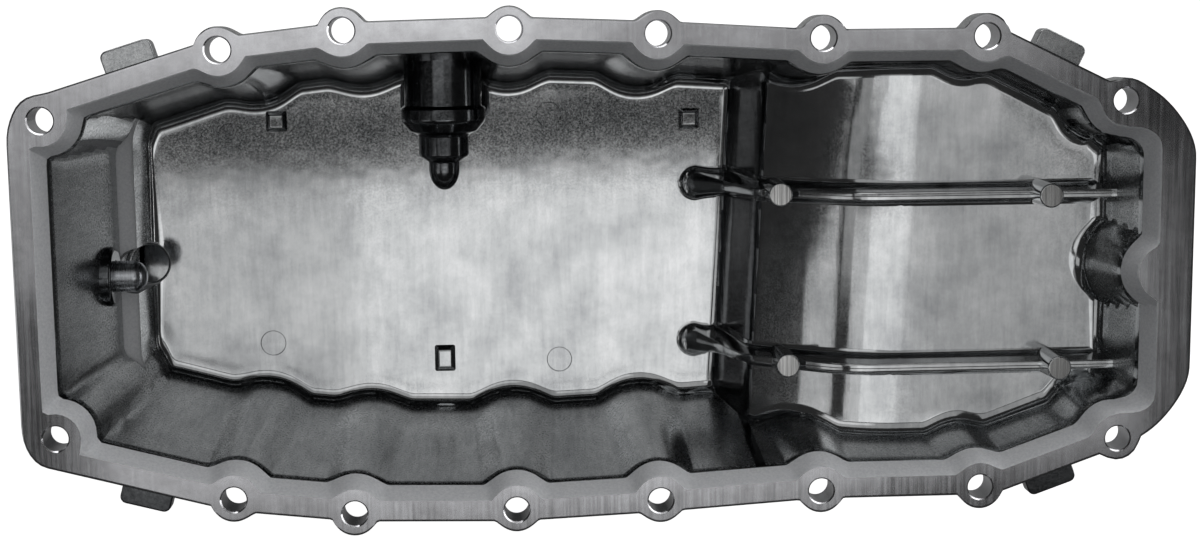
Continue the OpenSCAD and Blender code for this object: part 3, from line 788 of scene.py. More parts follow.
def shell_rows(rays, edge_round):
    """Rows of (distance along the ray, height), from the inner floor over the rim to the outer."""
    foot = wall_foot(rays, PROFILE_IN, 0.0, FLOOR_FILLET)
    fillet_end = wall_at(rays, foot + 0.01) - FLOOR_FILLET
    rows = floor_rows(rays, fillet_end, np.linspace(0, 1, 22), PROFILE_IN)
    rows += fillet_rows(rays, foot, FLOOR_FILLET, 0.0, quarter(9)[-2::-1])
    levels = list(level_rows(foot + FLOOR_FILLET, -BAND_H - BAND_CLEAR, -SUMP_DEPTH + LEDGE_H))
    levels += [-BAND_H + up for up in BAND_ROWS] + [-edge_round]
    rows += [(wall_at(rays, z), z) for z in levels]
    face, edge = wall_at(rays, 0.0), edge_at(rays)
    rows += [(face + edge_round + d, 0.0) for d in (0.0, 0.5)]
    rows += [(edge - inset, z) for inset, z in RIM_TOP]
    rows += [(edge - inset, z - FLANGE_T) for inset, z in RIM_FOOT]
    under = wall_at(rays, -FLANGE_T, WALL_T) + UNDER_R + 0.4
    rows.append((np.minimum(under, edge - RIM_IN), -FLANGE_T))
    for a in quarter(4)[1:]:
        z = -FLANGE_T - UNDER_R * (1 - math.cos(a))
        t = wall_at(rays, z, WALL_T) + UNDER_R * (1 - math.sin(a))
        rows.append((np.minimum(t, edge - RIM_IN), z))
    out_r = FLOOR_FILLET + WALL_T
    out_foot = wall_foot(rays, PROFILE_OUT, WALL_T, out_r)
    high = -FLANGE_T - UNDER_R
    for k in np.linspace(0, 1, 9)[1:]:
        z = high + (out_foot + out_r - high) * k
        rows.append((wall_at(rays, z, WALL_T), z))
    rows += fillet_rows(rays, out_foot, out_r, WALL_T, quarter(8)[1:])
    return rows + floor_rows(rays, rows[-1][0], np.linspace(1, 0, 14)[1:], PROFILE_OUT)


def casting_walls(name, n_side, n_fan, edge_round):
    """The casting's shell, whose rows of points all lie on the same rays."""
    rays = Rays(n_side, n_fan)
    n = rays.count
    points = []
    rows = shell_rows(rays, edge_round)
    for t, z in rows:
        points.append(np.stack([*rays.at(np.maximum(t, 0)), np.broadcast_to(z, (n,))], 1))
    return mesh_piece(name, place(np.concatenate(points)), grid_faces(len(rows), n, closed=True))


def bolt_holes():
    return [(x, y) for x, y in zip(BOLT_X, BOLT_Y_FAR)] + [(x, -y) for x, y in zip(BOLT_X, BOLT_Y_NEAR)]


def bolt_hole_cutters(chamfer):
    """Cutters of the bolt holes, which open out above the depth of the chamfer."""
    r, low, high = BOLT_D / 2, -FLANGE_T - 6, 3
    profile = [(low, 0), (low, r), (-chamfer, r), (high, r + chamfer + high), (high, 0)]
    return join([turned("hole", profile, (x, y, 0), "z", 64) for x, y in bolt_holes()], "hole_cutters")


# Material slots of the casting's finishes, among them a pale skin of painted light and a skin of painted
# shade; its floors keep the cast skin in slot 0
MILLED, PALE_LIT, DRAG_MARKED, PAINTED_SHADE = 1, 2, 3, 4

# The finishes' limits in millimetres: the ledge's strip, the near end of the painted shade on the far wall,
# and the riser's painted shade, measured along the pan from the riser's top edge
LEDGE_STRIP_X, LEDGE_STRIP_Z, SHADE_Y = 18.0, 4.0, 30.0
RISER_START, RISER_TOP, RISER_END = -16.0, -2.0, 1.5


def paint_finishes(obj):
    """Gives the casting's faces their finishes.

    The sealing face and the holes are milled. The steep band, the groove and the ledge's slopes get a pale
    skin of painted light. The far wall and the riser get painted shade, and the other walls are
    drag-marked.
    """
    for finish in (milled_aluminium, pale_lit_aluminium, drag_marked_aluminium, shaded_cast_aluminium):
        obj.data.materials.append(finish())
    ledge = place((END_WALL_X + LEDGE_STRIP_X, 0, -SUMP_DEPTH + LEDGE_H))
    _, far_y, top = place((0, BOLT_Y_FAR[3] - FACE_W, 0))
    riser_x = place((STEP_X + RISER_LEAN, 0, 0))[0]
    groove = place((GROOVE_X, PLUG_Y, 0))
    holes = place([(x, y, 0) for x, y in bolt_holes()])
    for face in obj.data.polygons:
        c, n = face.center, face.normal
        deep, upright = (top - c.z) / MM, abs(n.z) < 0.3
        inward = n.x * c.x / CASTING_HIGH[0] ** 2 + n.y * c.y / CASTING_HIGH[1] ** 2 < 0
        in_groove = n.z < 0.9 and math.hypot(c.x - groove[0], c.y - groove[1]) < (GROOVE_R + 0.1) * MM
        on_ledge = n.x > 0.2 and c.x < ledge[0] and abs(c.z - ledge[2]) < LEDGE_STRIP_Z * MM
        # Faces of the far wall and the riser, which get painted shade
        far_wall = n.y < -0.6 and upright and SHADE_Y * MM < c.y < far_y
        past_riser = (c.x - c.y * SKEW - riser_x) / MM
        leaning = n.x < -0.68 or n.z < 0.93 and past_riser > RISER_TOP
        riser = leaning and n.z > 0 and RISER_START < past_riser < RISER_END
        by_hole = False
        if deep < FLANGE_T + 1 and n.z < 0.9:
            by_hole = np.min(np.hypot(holes[:, 0] - c.x, holes[:, 1] - c.y)) < (BOLT_D / 2 + 1.2) * MM
        if by_hole or n.z > 0.98 and abs(deep) < 0.03:
            face.material_index = MILLED
        # The band's inward faces get the pale skin of painted light
        elif deep < BAND_H * 0.75 and n.z > 0.25 and inward:
            face.material_index = PALE_LIT
        # The groove and the ledge's slopes get the pale skin of painted light too
        elif in_groove or on_ledge and 0.2 < abs(n.z) < 0.97:
            face.material_index = PALE_LIT
        # The far wall and the riser get painted shade
        elif far_wall or riser:
            face.material_index = PAINTED_SHADE
        elif upright or on_ledge:
            face.material_index = DRAG_MARKED


# Ribs, each a swept section that follows the floors


RIB_H, RIB_CREST, RIB_DRAFT = 11.0, 3.4, 6.0
NOSE_W, NOSE_X, RIB_STEP_H = 11.0, 45.5, 24.0
PIN_D, PIN_H, PIN_FOOT = 9.0, 7.0, 3.5

# Each rib: its name, its place across the pan, how far its nose stands along, and its pins
RIBS = (("rib_far", 23.0, 0.5, (73.2, 171.2)), ("rib_near", -42.0, 3.5, (75.5, 175.5)))


def inner_floor(x):
    """Height of the inner floor where the step's skew is left out."""
    return float(np.interp(x, PROFILE_IN[:, 0], PROFILE_IN[:, 1]))


def crest_height(x):
    """Height of a rib's crest: up from its tip, steeper past the step, over the ramp, then level."""
    level = -SHALLOW_DEPTH + RIB_H
    over_ramp = -SHALLOW_DEPTH + RAMP_SLOPE * (x - RAMP_X) + RIB_H * 1.1
    step_x, step_z = STEP_X - 2, -SUMP_DEPTH + RIB_STEP_H
    tip_x, tip_z = NOSE_X - NOSE_W / 2 + 1, -SUMP_DEPTH + 2
    nose = tip_z + (step_z - tip_z) / (step_x - tip_x) * (x - tip_x)
    leading = smooth_max(nose, step_z + 3.4 * (x - step_x), 4)
    return float(smooth_min(smooth_min(level, over_ramp, 7), leading, 10))


def rib_section(x, fillet):
    """One side of a rib at x, from its foot to its crest, and the most that the crest drops to it.

    Each point is (distance from the rib's line, share, low, high). Its share leads from low above
    the floor to the crest's shoulder, and high is how much of the drop is left out.
    """
    height = crest_height(x) - inner_floor(x)
    reach = progress(x, NOSE_X, STEP_X)
    w = NOSE_W / 2 * (1 - reach) + (RIB_CREST / 2 + height * lean(RIB_DRAFT)) * reach
    v = min(RIB_CREST / 2 * reach + NOSE_W * 0.4 * (1 - reach), w * 0.8)
    r = min(fillet, max(height * 0.4, 0.5))
    # The crest is round up to the step and flatter past it
    square = 1 - 0.6 * progress(x, STEP_X, STEP_X + 15)
    section = [(w + r + 0.5, 0, -2.5, 0), (w + r + 0.4, 0, -0.15, 0)]
    section += [(w + r * (1 - math.sin(a)), 0, r * (1 - math.cos(a)), 0) for a in quarter(7)]
    section += [(w + (v - w) * k, k, r, 0) for k in (0.33, 0.66)]
    for a in np.radians(np.linspace(0, 89.9, 9)):
        section.append((v * math.cos(a) ** square, 1, 0, math.sin(a) ** square))
    return section, 0.8 + 2.2 * (1 - reach)


def rib_piece(name, y0, foot_fillet, nose_on):
    """A rib along y0; its nose stands nose_on further along the pan than the skewed step puts it."""
    shift = y0 * SKEW
    wall_in = BAND_IN + (SHALLOW_DEPTH - BAND_H) * lean(DRAFT_SHALLOW_END)
    end = END_X1 - FACE_W_END - wall_in + WALL_T * 0.75 - shift
    knots = (NOSE_X, STEP_X - 1, STEP_X + 14, RAMP_X + 14, end)
    xs = []
    for a, b, count in zip(knots, knots[1:], (9, 25, 29, 23)):
        xs += list(np.linspace(a, b, count, endpoint=False))
    xs.append(end)
    columns = [(x, 0.0, 1.0) for x in xs[::-1]]
    columns += [(NOSE_X, math.cos(a), math.sin(a)) for a in np.radians(np.linspace(90, 270, 25))[1:-1]]
    columns += [(x, 0.0, -1.0) for x in xs]
    points = []
    for x, dx, dy in columns:
        section, most = rib_section(x, foot_fillet)
        for e, share, low, high in section:
            px, py = x + dx * e, y0 + dy * e
            floor, crest = inner_floor(px), crest_height(px)
            drop = min(most, (crest - floor) * 0.4)
            z = (floor + low) * (1 - share) + (crest - drop * (1 - high)) * share
            points.append((px + shift + nose_on * (1 - progress(px, NOSE_X, STEP_X)), py, z))
    n, half, last = len(section), len(xs), len(columns) - 1
    faces = grid_faces(len(columns), n)
    # The foot is closed between the two sides, and so is the end inside the wall
    faces += [(k * n, (k + 1) * n, (last - k - 1) * n, (last - k) * n) for k in range(half - 1)]
    faces.append(tuple(k * n for k in range(half - 1, last - half + 2)))
    faces.append((*range(n), *(last * n + j for j in range(n - 2, -1, -1))))
    return mesh_piece(name, place(points), faces)


def stop_pin(name, x, y, bevel):
    """A stop pin that widens to its foot, and the height of its top in the frame."""
    u = x - y * SKEW
    top, foot, r = crest_height(u) + PIN_H, inner_floor(u) - PIN_FOOT, PIN_D / 2
    profile = rounded([(foot, 0), (foot, r + 0.6), (top, r), (top, 0)], [0, 0, bevel, 0])
    return turned(name, profile, (x, y, 0), "z", 64), place((x, y, top))[2]


# Sensor boss


SENSOR_X, SENSOR_H = -54.5, 28.0
SENSOR_R0, SENSOR_R1, SENSOR_R2 = 16.5, 9.75, 6.0
SENSOR_Y1, SENSOR_Y2, SENSOR_Y3 = 47.0, 36.0, 24.0
PORT_R, PILOT_R, PORT_FACE_Y = 6.25, 2.5, 85.0
SENSOR_Z = -SUMP_DEPTH + SENSOR_H
WEB_ROUND, WEB_Y, WEB_LENGTH, WEB_HALF = 5.0, SENSOR_Y1 + 4, 23.0, SENSOR_R0 - 1.5
WEB_LEAN_TOP, WEB_LEAN_FOOT, FLARE_END_Y, FLARE_R = 2, 7, 66, 3.0


def sensor_turned():
    """The stepped boss with its bored port, turned round its level axis."""
    r0, r1, r2 = SENSOR_R0, SENSOR_R1, SENSOR_R2
    y1, y2, y3 = SENSOR_Y1, SENSOR_Y2, SENSOR_Y3
    outline = [
        (y3 + 5, 0), (y3 + 5, PILOT_R), (y2 + 3, PILOT_R), (y2 + 3, PORT_R), (PORT_FACE_Y, PORT_R),
        (PORT_FACE_Y, r0 - 1.5), (y1 + 10, r0 - 1.5), (y1 + 9, r0), (y1 + 4, r0), (y1, (r0 + r1) / 2),
        (y1 - 1, r1 + 0.8), (y1 - 2, r1), (y2 + 1.5, r1), (y2, r2 + 1.5), (y2 - 1, r2),
    ]
    radii = [0, 0, 0, 0, 0.4, 1.0, 0.5, 0.8, 3.0, 2.0, 0.8, 0.8, 1.2, 0.9, 0.8]
    dome = [(y3 + (y2 - y3) * 0.7 * (1 - math.sin(a)), r2 * math.cos(a)) for a in quarter(14, 4)]
    profile = rounded(outline + [dome[0]], radii + [0])[:-1] + dome
    return turned("boss", profile, (SENSOR_X, 0, SENSOR_Z), "y")


def sensor_web():
    """The web under the boss, with round upright edges at its front."""
    middle = place((SENSOR_X, WEB_Y + WEB_LENGTH / 2, (SENSOR_Z - SUMP_DEPTH - 1) / 2))
    web = block("web", (2 * WEB_HALF, WEB_LENGTH, SENSOR_H + 1), middle)
    # Its back end leans in with the far wall, so that nothing of it shows outside
    for v in web.data.vertices:
        if v.co.y > middle[1]:
            v.co.y -= (WEB_LEAN_TOP if v.co.z > middle[2] else WEB_LEAN_FOOT) * MM
    front = place((0, WEB_Y, 0))[1]
    bevel_edges(
        web, lambda e: all(abs(v.co.y - front) < 1e-6 for v in e.verts) and rise(e) > 10 * MM, WEB_ROUND, 6
    )
    return web


def web_outline():
    """The web's plan: along one side, round its two front corners and back along the other side."""
    k, front = WEB_ROUND, WEB_Y + WEB_ROUND
    low, high = SENSOR_X - WEB_HALF, SENSOR_X + WEB_HALF
    corner = [(low + k - k * math.cos(a), front - k * math.sin(a)) for a in quarter(9)]
    other = [(high - k + k * math.sin(a), front - k * math.cos(a)) for a in quarter(9)]
    return [(low, FLARE_END_Y)] + corner + other + [(high, FLARE_END_Y)]


def foot_flare(name, outline, radius, inward):
    """A fillet round the foot of an upright form whose plan is the open outline."""
    section = [(-inward, -2), (radius + 0.3, -2), (radius + 0.3, -0.1)]
    section += [(radius * (1 - math.sin(a)), radius * (1 - math.cos(a))) for a in quarter(7)]
    section.append((-inward, radius))
    n, m = len(outline), len(section)
    points = []
    for i, (x, y) in enumerate(outline):
        along = np.subtract(outline[min(i + 1, n - 1)], outline[max(i - 1, 0)])
        along /= np.linalg.norm(along)
        points += [(x + along[1] * e, y - along[0] * e, -SUMP_DEPTH + h) for e, h in section]
    faces = grid_faces(n, m, closed=True)
    faces += [tuple(range(m)), tuple((n - 1) * m + j for j in range(m - 1, -1, -1))]
    return mesh_piece(name, place(points), faces)


# Seat of the screw plug


PLUG_Y, PLUG_H, PLUG_R = -6.6, 39.0, 6.0
PLUG_HOLE_R, PLUG_CLEAR_R = PLUG_R + 0.05, PLUG_R + 0.5
PLUG_BOSS_R, COLLAR_R, COLLAR_ROUND, GROOVE_R, GROOVE_X = 13.0, 11.5, 1.2, 9.0, -175.3
END_WALL_IN = BAND_IN + (SUMP_DEPTH - PLUG_H - BAND_H) * lean(DRAFT_SUMP_END)
END_WALL_X = END_X0 + FACE_W + END_WALL_IN
PLUG_FACE_X = END_WALL_X - WALL_T - 4.3
COLLAR_X = END_WALL_X + 2.2
PLUG_Z = -SUMP_DEPTH + PLUG_H
PLUG_REACH, PLUG_DOME, HEX_AF, HEX_H = 12.0, 5.0, 17.0, 6.0
HEAD_R, HEAD_T, WASHER_R, WASHER_T = 11.0, 2.5, 10.0, 1.5


def plug_cylinder(name, r):
    """A cutter along the plug, right through the end wall."""
    return cylinder(name, r, (PLUG_FACE_X - 5, PLUG_Y, PLUG_Z), 30, "x")


def groove_cutter(soft):
    """Upright cutter of the groove under the plug, with a round bottom edge."""
    low, high = -SUMP_DEPTH - 0.5, -SUMP_DEPTH + PLUG_H + 9.5
    profile = rounded([(low, 0), (low, GROOVE_R), (high, GROOVE_R), (high, 0)], [0, soft, 0, 0])
    return turned("groove", profile, (GROOVE_X, PLUG_Y, 0), "z")


def plug_ring(name, x0, x1, radius, radii):
    """A ring round the plug's hole from x0 to x1, its corners rounded by the radii."""
    corners = [(x0, PLUG_HOLE_R), (x0, radius), (x1, radius), (x1, PLUG_HOLE_R), (x0, PLUG_HOLE_R)]
    return turned(name, rounded(corners, [0, *radii, 0]), (0, PLUG_Y, PLUG_Z), "x")


def groove_rib(soft):
    """The drafted half-round rib outside, where the wall goes round the groove."""
    low, high = -SUMP_DEPTH - FLOOR_T + 1, -SUMP_DEPTH + LEDGE_H - 2.5
    foot_r, top_r = GROOVE_R + 3.2, GROOVE_R + WALL_T + 0.5
    inner = low + 3.5
    corners = [(low, 0), (low, foot_r), (high, top_r), (high, GROOVE_R), (inner, GROOVE_R), (inner, 0)]
    rib = turned("groove_rib", rounded(corners, [0, soft, 0.5, 0, 1.5, 0]), (GROOVE_X, PLUG_Y, 0), "z")
    # Only the half outside the wall is kept
    middle = tuple(place((GROOVE_X - 2.0, 0, 0)))
    with edit_mode(rib):
        bpy.ops.mesh.bisect(plane_co=middle, plane_no=(1, 0, 0), use_fill=True, clear_outer=True)
    clean_mesh(rib)
    return rib


# Ears and floor details


EAR_W, EAR_OUT, EAR_IN, EAR_T, EAR_ROUND = 18.5, 7.5, 5.0, 7.0, 2.5
EAR_X = ((BOLT_X[0] + BOLT_X[1]) / 2, (BOLT_X[6] + BOLT_X[7]) / 2 + 1)
PADS = ((-122.4, 50.2, 1.0), (44.6, 49.2, 1.0), (-56.6, -48.0, 1.3))
PAD_W, PAD_T, PAD_TOP, PAD_UP = 9.5, 3.5, 0.6, 0.75
MARKS = ((-141.0, 44.5), (-12.6, 51.5), (-126.6, -40.4), (-9.5, -49.5))
MARK_DEEP, MARK_UP, MARK_R0, MARK_R1 = 0.35, 0.4, 4.9, 5.5


def ear(name, x, side, soft):
    """An ear under the flange, square to its edge; side is 1 on the far side and -1 on the near one."""
    points = RAIL_FAR if side > 0 else RAIL_NEAR
    i = int(np.searchsorted(points[1:-1, 0], x, side="right"))
    along, out = points[i + 1] - points[i]
    y = points[i][1] + out * (x - points[i][0]) / along
    depth = EAR_OUT + EAR_IN
    middle = (0, side * (depth / 2 - EAR_IN) * MM, EAR_T / 2 * MM)
    obj = block(name, (EAR_W, depth, EAR_T), middle)

    def is_outer_corner(edge):
        return all(side * v.co.y > 4 * MM for v in edge.verts) and rise(edge) > 4 * MM

    def is_level_rim(edge):
        return is_rim(edge) and rise(edge) < 1e-6 and side * sum(v.co.y for v in edge.verts) > -6 * MM

    bevel_edges(obj, is_outer_corner, EAR_ROUND, 5)
    bevel_edges(obj, is_level_rim, soft, 3)
    obj.rotation_euler = (0, 0, side * math.atan2(out, along))
    obj.location = tuple(place((x, side * y, -FLANGE_T + 1)))
    bake_place(obj)
    return obj


def floor_pad(name, x, y, ratio):
    """A square or oblong pad whose sides lean in to a smaller top, with soft edges."""
    pad = block(name, (PAD_W, PAD_W * ratio, PAD_T))
    for v in pad.data.vertices:
        if v.co.z > 0:
            v.co.x *= PAD_TOP
            v.co.y *= PAD_TOP
    bevel_edges(pad, lambda e: max(v.co.z for v in e.verts) > 0, 0.8, 4)
    pad.location = tuple(place((x, y, -SUMP_DEPTH + PAD_UP)))
    bake_place(pad)
    return pad


def mark_cutters():
    """Cutters of the ejector marks, shallow round recesses with a slanting side."""
    low, high = -SUMP_DEPTH - MARK_DEEP, -SUMP_DEPTH + MARK_UP
    profile = [(low, 0), (low, MARK_R0), (high, MARK_R1), (high, 0)]
    return join([turned("mark", profile, (x, y, 0), "z", 64) for x, y in MARKS], "mark_cutters")


# Sizes and colours that a user would change


def length(name, description, default, low, high):
    """A length setting, whose values are given in millimetres."""
    return FloatProperty(
        name=name, description=description, default=default * MM, min=low * MM, max=high * MM, unit="LENGTH"
    )


class OilPanSettings(bpy.types.PropertyGroup):
    edge_round: length("Edge break", "Width of the broken edge round the sealing face", 0.35, 0.1, 1.0)
    hole_chamfer: length("Hole chamfer", "Width of the chamfer at the bolt holes", 0.5, 0.2, 1.0)
    rib_fillet: length("Rib fillet", "Fillet radius at the foot of the ribs", 2.0, 0.5, 4.0)
    cast_soft: length("Soft edges", "Rounding of the edges at the sensor and plug", 1.2, 0.3, 3.0)
    pin_bevel: length("Pin edge", "Rounding at the top of the stop pins", 0.6, 0.2, 1.5)
    floor_colour: FloatVectorProperty(
        name="Floor", description="Colour of the studio floor", subtype="COLOR", size=4,
        default=srgb("F4F4F4"), min=0.0, max=1.0,
    )


def settings():
    return bpy.context.scene.oil_pan


class OILPAN_OT_walls(bpy.types.Operator):
    """Flange, walls and floors of the casting, with the bolt holes, groove and ports cut in"""

    bl_idname = "oilpan.walls"
    bl_label = "Walls and flange"

    def execute(self, context):
        n_side, n_fan = ((330, 100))
        shell = casting_walls("casting_walls", n_side, n_fan, settings().edge_round / MM)
        port = cylinder("port", PORT_R, (SENSOR_X, SENSOR_Y1 + 12, SENSOR_Z), 60, "y")
        hole = plug_cylinder("plug_hole", PLUG_HOLE_R)
        bolt_cutters = bolt_hole_cutters(settings().hole_chamfer / MM)
        cut(shell, [bolt_cutters, groove_cutter(1.5), mark_cutters(), port, hole])
        shell.data.materials.append(die_cast_aluminium())
        paint_finishes(shell)
        finish_piece(shell, 30)
        return {"FINISHED"}


class OILPAN_OT_ribs(bpy.types.Operator):
    """The two ribs and their four stop pins"""

    bl_idname = "oilpan.ribs"
    bl_label = "Ribs and pins"

    def execute(self, context):
        for name, y, nose_on, pin_xs in RIBS:
            rib = rib_piece(name, y, settings().rib_fillet / MM, nose_on)
            finish_piece(rib, 40, [die_cast_aluminium()])
            for i, x in enumerate(pin_xs):
                pin, top = stop_pin(f"{name}_pin_{i + 1}", x, y, settings().pin_bevel / MM)
                pin.data.materials.append(die_cast_aluminium())
                pin.data.materials.append(milled_pin_aluminium())
                for face in pin.data.polygons:
                    face.material_index = int(face.normal.z > 0.99 and face.center.z > top - 0.1 * MM)
                finish_piece(pin, 40)
        return {"FINISHED"}


class OILPAN_OT_sensor_boss(bpy.types.Operator):
    """Stepped boss for the sensor, with its web and the fillet at its foot"""

    bl_idname = "oilpan.sensor_boss"
    bl_label = "Sensor boss"

    def execute(self, context):
        boss = join([sensor_turned(), sensor_web()], "sensor_boss")
        flare = foot_flare("boss_flare", web_outline(), FLARE_R, 1.0 + settings().cast_soft / MM)
        boss = join([boss, flare], "sensor_boss")
        # The boss gets the skin of painted shade
        finish_piece(boss, 35, [shaded_cast_aluminium()])
        return {"FINISHED"}


class OILPAN_OT_plug_seat(bpy.types.Operator):
    """Collar inside the end wall, boss outside it and the rib round the groove"""

    bl_idname = "oilpan.plug_seat"
    bl_label = "Seat of the plug"

    def execute(self, context):
        soft = settings().cast_soft / MM
        rib = groove_rib(soft)
        cut(rib, [plug_cylinder("clear", PLUG_CLEAR_R)])
        collar = plug_ring("plug_collar", COLLAR_X - 6, COLLAR_X, COLLAR_R, (0, COLLAR_ROUND, 0.4))
        boss = plug_ring("plug_boss", PLUG_FACE_X, END_WALL_X - 3.2, PLUG_BOSS_R, (soft, 0, 0))
        # The collar gets the skin of painted shade, the boss and rib the plain drag-marked skin
        finish_piece(collar, 35, [shaded_cast_aluminium()])
        finish_piece(join([boss, rib], "plug_seat"), 35, [drag_marked_aluminium()])
        return {"FINISHED"}


class OILPAN_OT_small_details(bpy.types.Operator):
    """Four ears under the flange and three pads on the sump floor"""

    bl_idname = "oilpan.small_details"
    bl_label = "Ears and pads"

    def execute(self, context):
        ears_far = join([ear("ear", x, 1, 0.7) for x in EAR_X], "ears_far")
        ears_near = join([ear("ear", x, -1, 0.7) for x in EAR_X], "ears_near")
        pads = join([floor_pad("pad", *pad) for pad in PADS], "floor_pads")
        finish_piece(ears_far, 35, [drag_marked_aluminium()])
        # The near ears get painted shade, the far ears the plain drag-marked skin
        finish_piece(ears_near, 35, [shaded_cast_aluminium()])
        finish_piece(pads, 35, [die_cast_aluminium()])
        return {"FINISHED"}


class OILPAN_OT_screw_plug(bpy.types.Operator):
    """Screw plug with a chamfered hexagon, a flanged head and a domed end"""

    bl_idname = "oilpan.screw_plug"
    bl_label = "Screw plug"

    def execute(self, context):
        head_x = PLUG_FACE_X - WASHER_T
        outer_x = head_x - HEAD_T
        dome_x = COLLAR_X + PLUG_REACH - PLUG_DOME
        corners = [(outer_x, 0), (outer_x, HEAD_R), (head_x, HEAD_R), (head_x, PLUG_R), (dome_x, PLUG_R)]
        dome = [(dome_x + PLUG_DOME * math.sin(a), PLUG_R * math.cos(a)) for a in quarter(16, 4)]
        profile = rounded(corners, [0, 0.6, 0.4, 0.3, 0]) + dome
        shank = turned("shank", profile, (0, PLUG_Y, PLUG_Z), "x")
        # The hexagon reaches a little into the head
        r = HEX_AF / math.cos(math.radians(30)) / 2
        hexagon = added(
            bpy.ops.mesh.primitive_cylinder_add, "hexagon",
            vertices=6, radius=r * MM, depth=(HEX_H + 0.5) * MM, rotation=AXES["x"][2],
            location=tuple(place((outer_x - HEX_H / 2 + 0.25, PLUG_Y, PLUG_Z))),
        )
        bake_place(hexagon)
        low = min(v.co.x for v in hexagon.data.vertices) / MM + MID_X - 0.01
        bevel_edges(hexagon, is_rim, 0.25, 2)
        # The turned chamfer on the hexagon's end
        in_r = HEX_AF / 2 - 0.3
        chamfer = [(0, in_r), (0, r + 3), (3.0, r + 3), (2.2, r + 0.9), (0, in_r)]
        cut(hexagon, [turned("cone", chamfer, (low, PLUG_Y, PLUG_Z), "x")])
        plug = join([shank, hexagon], "plug_with_hexagon")
        finish_piece(plug, 32, [zinc_plated_steel()], "screw_plug")
        return {"FINISHED"}


class OILPAN_OT_washer(bpy.types.Operator):
    """Copper sealing washer with slightly crushed edges"""

    bl_idname = "oilpan.washer"
    bl_label = "Sealing washer"

    def execute(self, context):
        x0, x1, r = PLUG_FACE_X - WASHER_T, PLUG_FACE_X, PLUG_HOLE_R
        corners = [(x0, r + 0.5), (x0, WASHER_R), (x1, WASHER_R), (x1, r), (x0, r), (x0, r + 0.5)]
        profile = rounded(corners, [0, 0.5, 0.5, 0.2, 0.2, 0])
        washer = turned("copper_washer", profile, (0, PLUG_Y, PLUG_Z), "x")
        finish_piece(washer, 40, [soft_copper()], "plug_washer")
        return {"FINISHED"}


# The studio, in metres of the frame


PAPER_R, PAPER_H, PAPER_Z, PAPER_GLOW = 1.4, 0.42, 0.27, 2.0
PAPER_Y, PAPER_X = -0.45, -0.75

# Each softbox looks straight down: its name, middle, size, glow and turn in degrees
SOFTBOXES = (
    # The long softbox on the near side, whose far edge shows as a line across the sump floor
    ("near_softbox", (0.060, -0.170, 1.0), (0.890, 0.255), 0.51, 2),
    ("near_softbox_core", (0.075, -0.165, 0.99), (0.50, 0.24), 0.36, 2),
    # The softbox beyond the camera, which lights the far side of the sealing face
    ("far_softbox", (-0.245, 0.195, 1.0), (0.55, 0.33), 0.42, 0),
    # Dim silks beside them, which keep the walls and the rest of the face from black
    ("near_silk", (-0.045, -0.267, 1.02), (0.64, 0.447), 0.22, 0),
    ("sump_end_silk", (-0.485, -0.005, 1.02), (0.23, 0.25), 0.32, 0),
    ("far_silk", (0.0, 0.455, 1.02), (0.90, 0.83), 0.41, 0),
)
END_LIGHT, END_LIGHT_SIZE, END_LIGHT_AIM = (-1.05, -0.24, 1.00), (0.34, 0.62), (0.08, -0.02, 0.06)

# The photo's camera: focal length and width in pixels, place in the drawing, and the way it looks
FOCAL_PX, PHOTO_W_PX, SENSOR_W = 1860.0, 1200.0, 36.0
CAMERA_PLACE = (-34.5, 88.2, 658.0)
CAMERA_RIGHT, CAMERA_FORWARD = (0.9983, -0.0104, 0.0570), (0.0551, -0.1311, -0.9898)


def studio_floor():
    """A matt white floor. The camera sees it white, and only the object's shadow darkens it a little."""
    floor = added(bpy.ops.mesh.primitive_plane_add, "studio_floor", size=8.0, location=(0, 0, -0.0004))
    material, tree, shader = new_material(
        "matt_white_floor", Base_Color=settings().floor_colour, Roughness=0.9, Specular_IOR_Level=0.1
    )
    path = add(tree, "ShaderNodeLightPath")
    glow = add(tree, "ShaderNodeEmission", None, {"Color": (1, 1, 1, 1), "Strength": 0.93})
    both = add(tree, "ShaderNodeAddShader", None, None, {0: (shader, "BSDF"), 1: (glow, "Emission")})
    links = {0: (path, "Is Camera Ray"), 1: (shader, "BSDF"), 2: (both, "Shader")}
    seen = add(tree, "ShaderNodeMixShader", None, None, links)
    tree.links.new(seen.outputs["Shader"], tree.nodes["Material Output"].inputs["Surface"])
    floor.data.materials.append(material)


def paper_wall():
    """A low wall of white paper, open in front and on the sump's side, seen in edges and the band."""
    wall = added(
        bpy.ops.mesh.primitive_cylinder_add, "paper_wall",
        vertices=96, radius=PAPER_R, depth=PAPER_H, end_fill_type="NOTHING", location=(0, 0, PAPER_Z),
    )
    bake_place(wall)
    with edit_mode(wall):
        for spot, square in (((0, PAPER_Y, 0), (0, 1, 0)), ((PAPER_X, 0, 0), (1, 0, 0))):
            bpy.ops.mesh.select_all(action="SELECT")
            bpy.ops.mesh.bisect(plane_co=spot, plane_no=square, clear_inner=True)
    glow = {"Emission_Color": (1, 1, 1, 1), "Emission_Strength": PAPER_GLOW}
    material, _, _ = new_material("lit_white_paper", Base_Color=srgb("F4F4F4"), **glow)
    wall.data.materials.append(material)


def softbox(name, middle, size, glow, turn=0.0, aim=None):
    """An even softbox that looks at aim, or straight down. Its glow is 1 for paper white."""
    data = bpy.data.lights.new(name, "AREA")
    data.shape = "RECTANGLE"
    data.size, data.size_y = size
    data.energy = glow * math.pi * size[0] * size[1]
    obj = new_object(name, data)
    obj.location = middle
    obj.rotation_euler = (0, 0, math.radians(turn))
    if aim:
        obj.rotation_euler = (Vector(aim) - Vector(middle)).to_track_quat("-Z", "Y").to_euler()


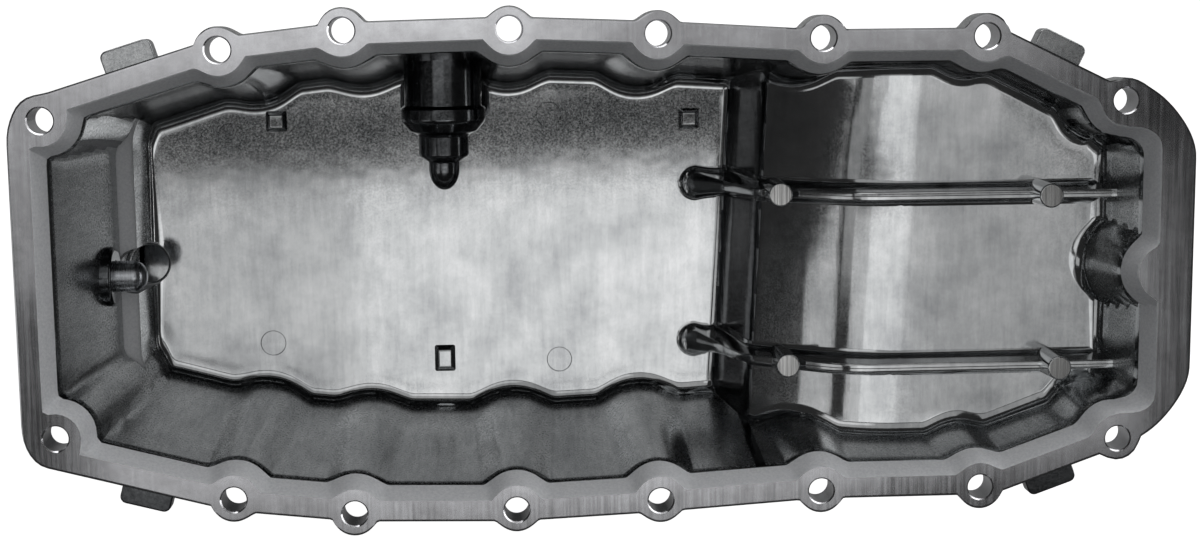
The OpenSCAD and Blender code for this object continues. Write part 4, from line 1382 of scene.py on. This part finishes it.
def photo_camera():
    """The camera that took the photo, as it was worked out from the flange and the floors."""
    data = bpy.data.cameras.new("photo_camera")
    data.sensor_width = SENSOR_W
    data.lens = SENSOR_W * FOCAL_PX / PHOTO_W_PX
    right, forward = Vector(CAMERA_RIGHT), Vector(CAMERA_FORWARD).normalized()
    right = (right - forward * right.dot(forward)).normalized()
    rotation = Matrix((right, right.cross(forward), -forward)).transposed()
    obj = new_object("photo_camera", data)
    obj.matrix_world = Matrix.Translation(Vector(place(CAMERA_PLACE))) @ rotation.to_4x4()
    bpy.context.scene.camera = obj


class OILPAN_OT_studio(bpy.types.Operator):
    """White floor, paper wall, softboxes with the camera between them, and the camera"""

    bl_idname = "oilpan.studio"
    bl_label = "Studio and camera"

    def execute(self, context):
        studio_floor()
        paper_wall()
        for values in SOFTBOXES:
            softbox(*values)
        # A low softbox at the sump's end, seen in the ramp and the shallow end's wall
        softbox("end_softbox", END_LIGHT, END_LIGHT_SIZE, 0.60, aim=END_LIGHT_AIM)
        world = bpy.data.worlds.new("studio_world")
        world.use_nodes = True
        back = world.node_tree.nodes["Background"]
        back.inputs["Color"].default_value = (1, 1, 1, 1)
        back.inputs["Strength"].default_value = 0.03
        bpy.context.scene.world = world
        bpy.context.scene.view_settings.view_transform = "Standard"
        photo_camera()
        return {"FINISHED"}


class OILPAN_PT_panel(bpy.types.Panel):
    bl_label = "Oil pan"
    bl_idname = "OILPAN_PT_panel"
    bl_space_type = "VIEW_3D"
    bl_region_type = "UI"
    bl_category = "Oil pan"

    def draw(self, context):
        layout = self.layout
        for name in OilPanSettings.__annotations__:
            layout.prop(context.scene.oil_pan, name)
        for operator in OPERATORS:
            layout.operator(operator.bl_idname)


OPERATORS = (
    OILPAN_OT_walls,
    OILPAN_OT_ribs,
    OILPAN_OT_sensor_boss,
    OILPAN_OT_plug_seat,
    OILPAN_OT_small_details,
    OILPAN_OT_screw_plug,
    OILPAN_OT_washer,
    OILPAN_OT_studio,
)
CLASSES = (OilPanSettings, *OPERATORS, OILPAN_PT_panel)


def register():
    for cls in CLASSES:
        bpy.utils.register_class(cls)
    bpy.types.Scene.oil_pan = PointerProperty(type=OilPanSettings)


def unregister():
    del bpy.types.Scene.oil_pan
    for cls in reversed(CLASSES):
        bpy.utils.unregister_class(cls)


def main():
    register()
    bpy.ops.oilpan.walls()
    bpy.ops.oilpan.ribs()
    bpy.ops.oilpan.sensor_boss()
    bpy.ops.oilpan.plug_seat()
    bpy.ops.oilpan.small_details()
    bpy.ops.oilpan.screw_plug()
    bpy.ops.oilpan.washer()
    bpy.ops.oilpan.studio()


if __name__ == "__main__":
    main()
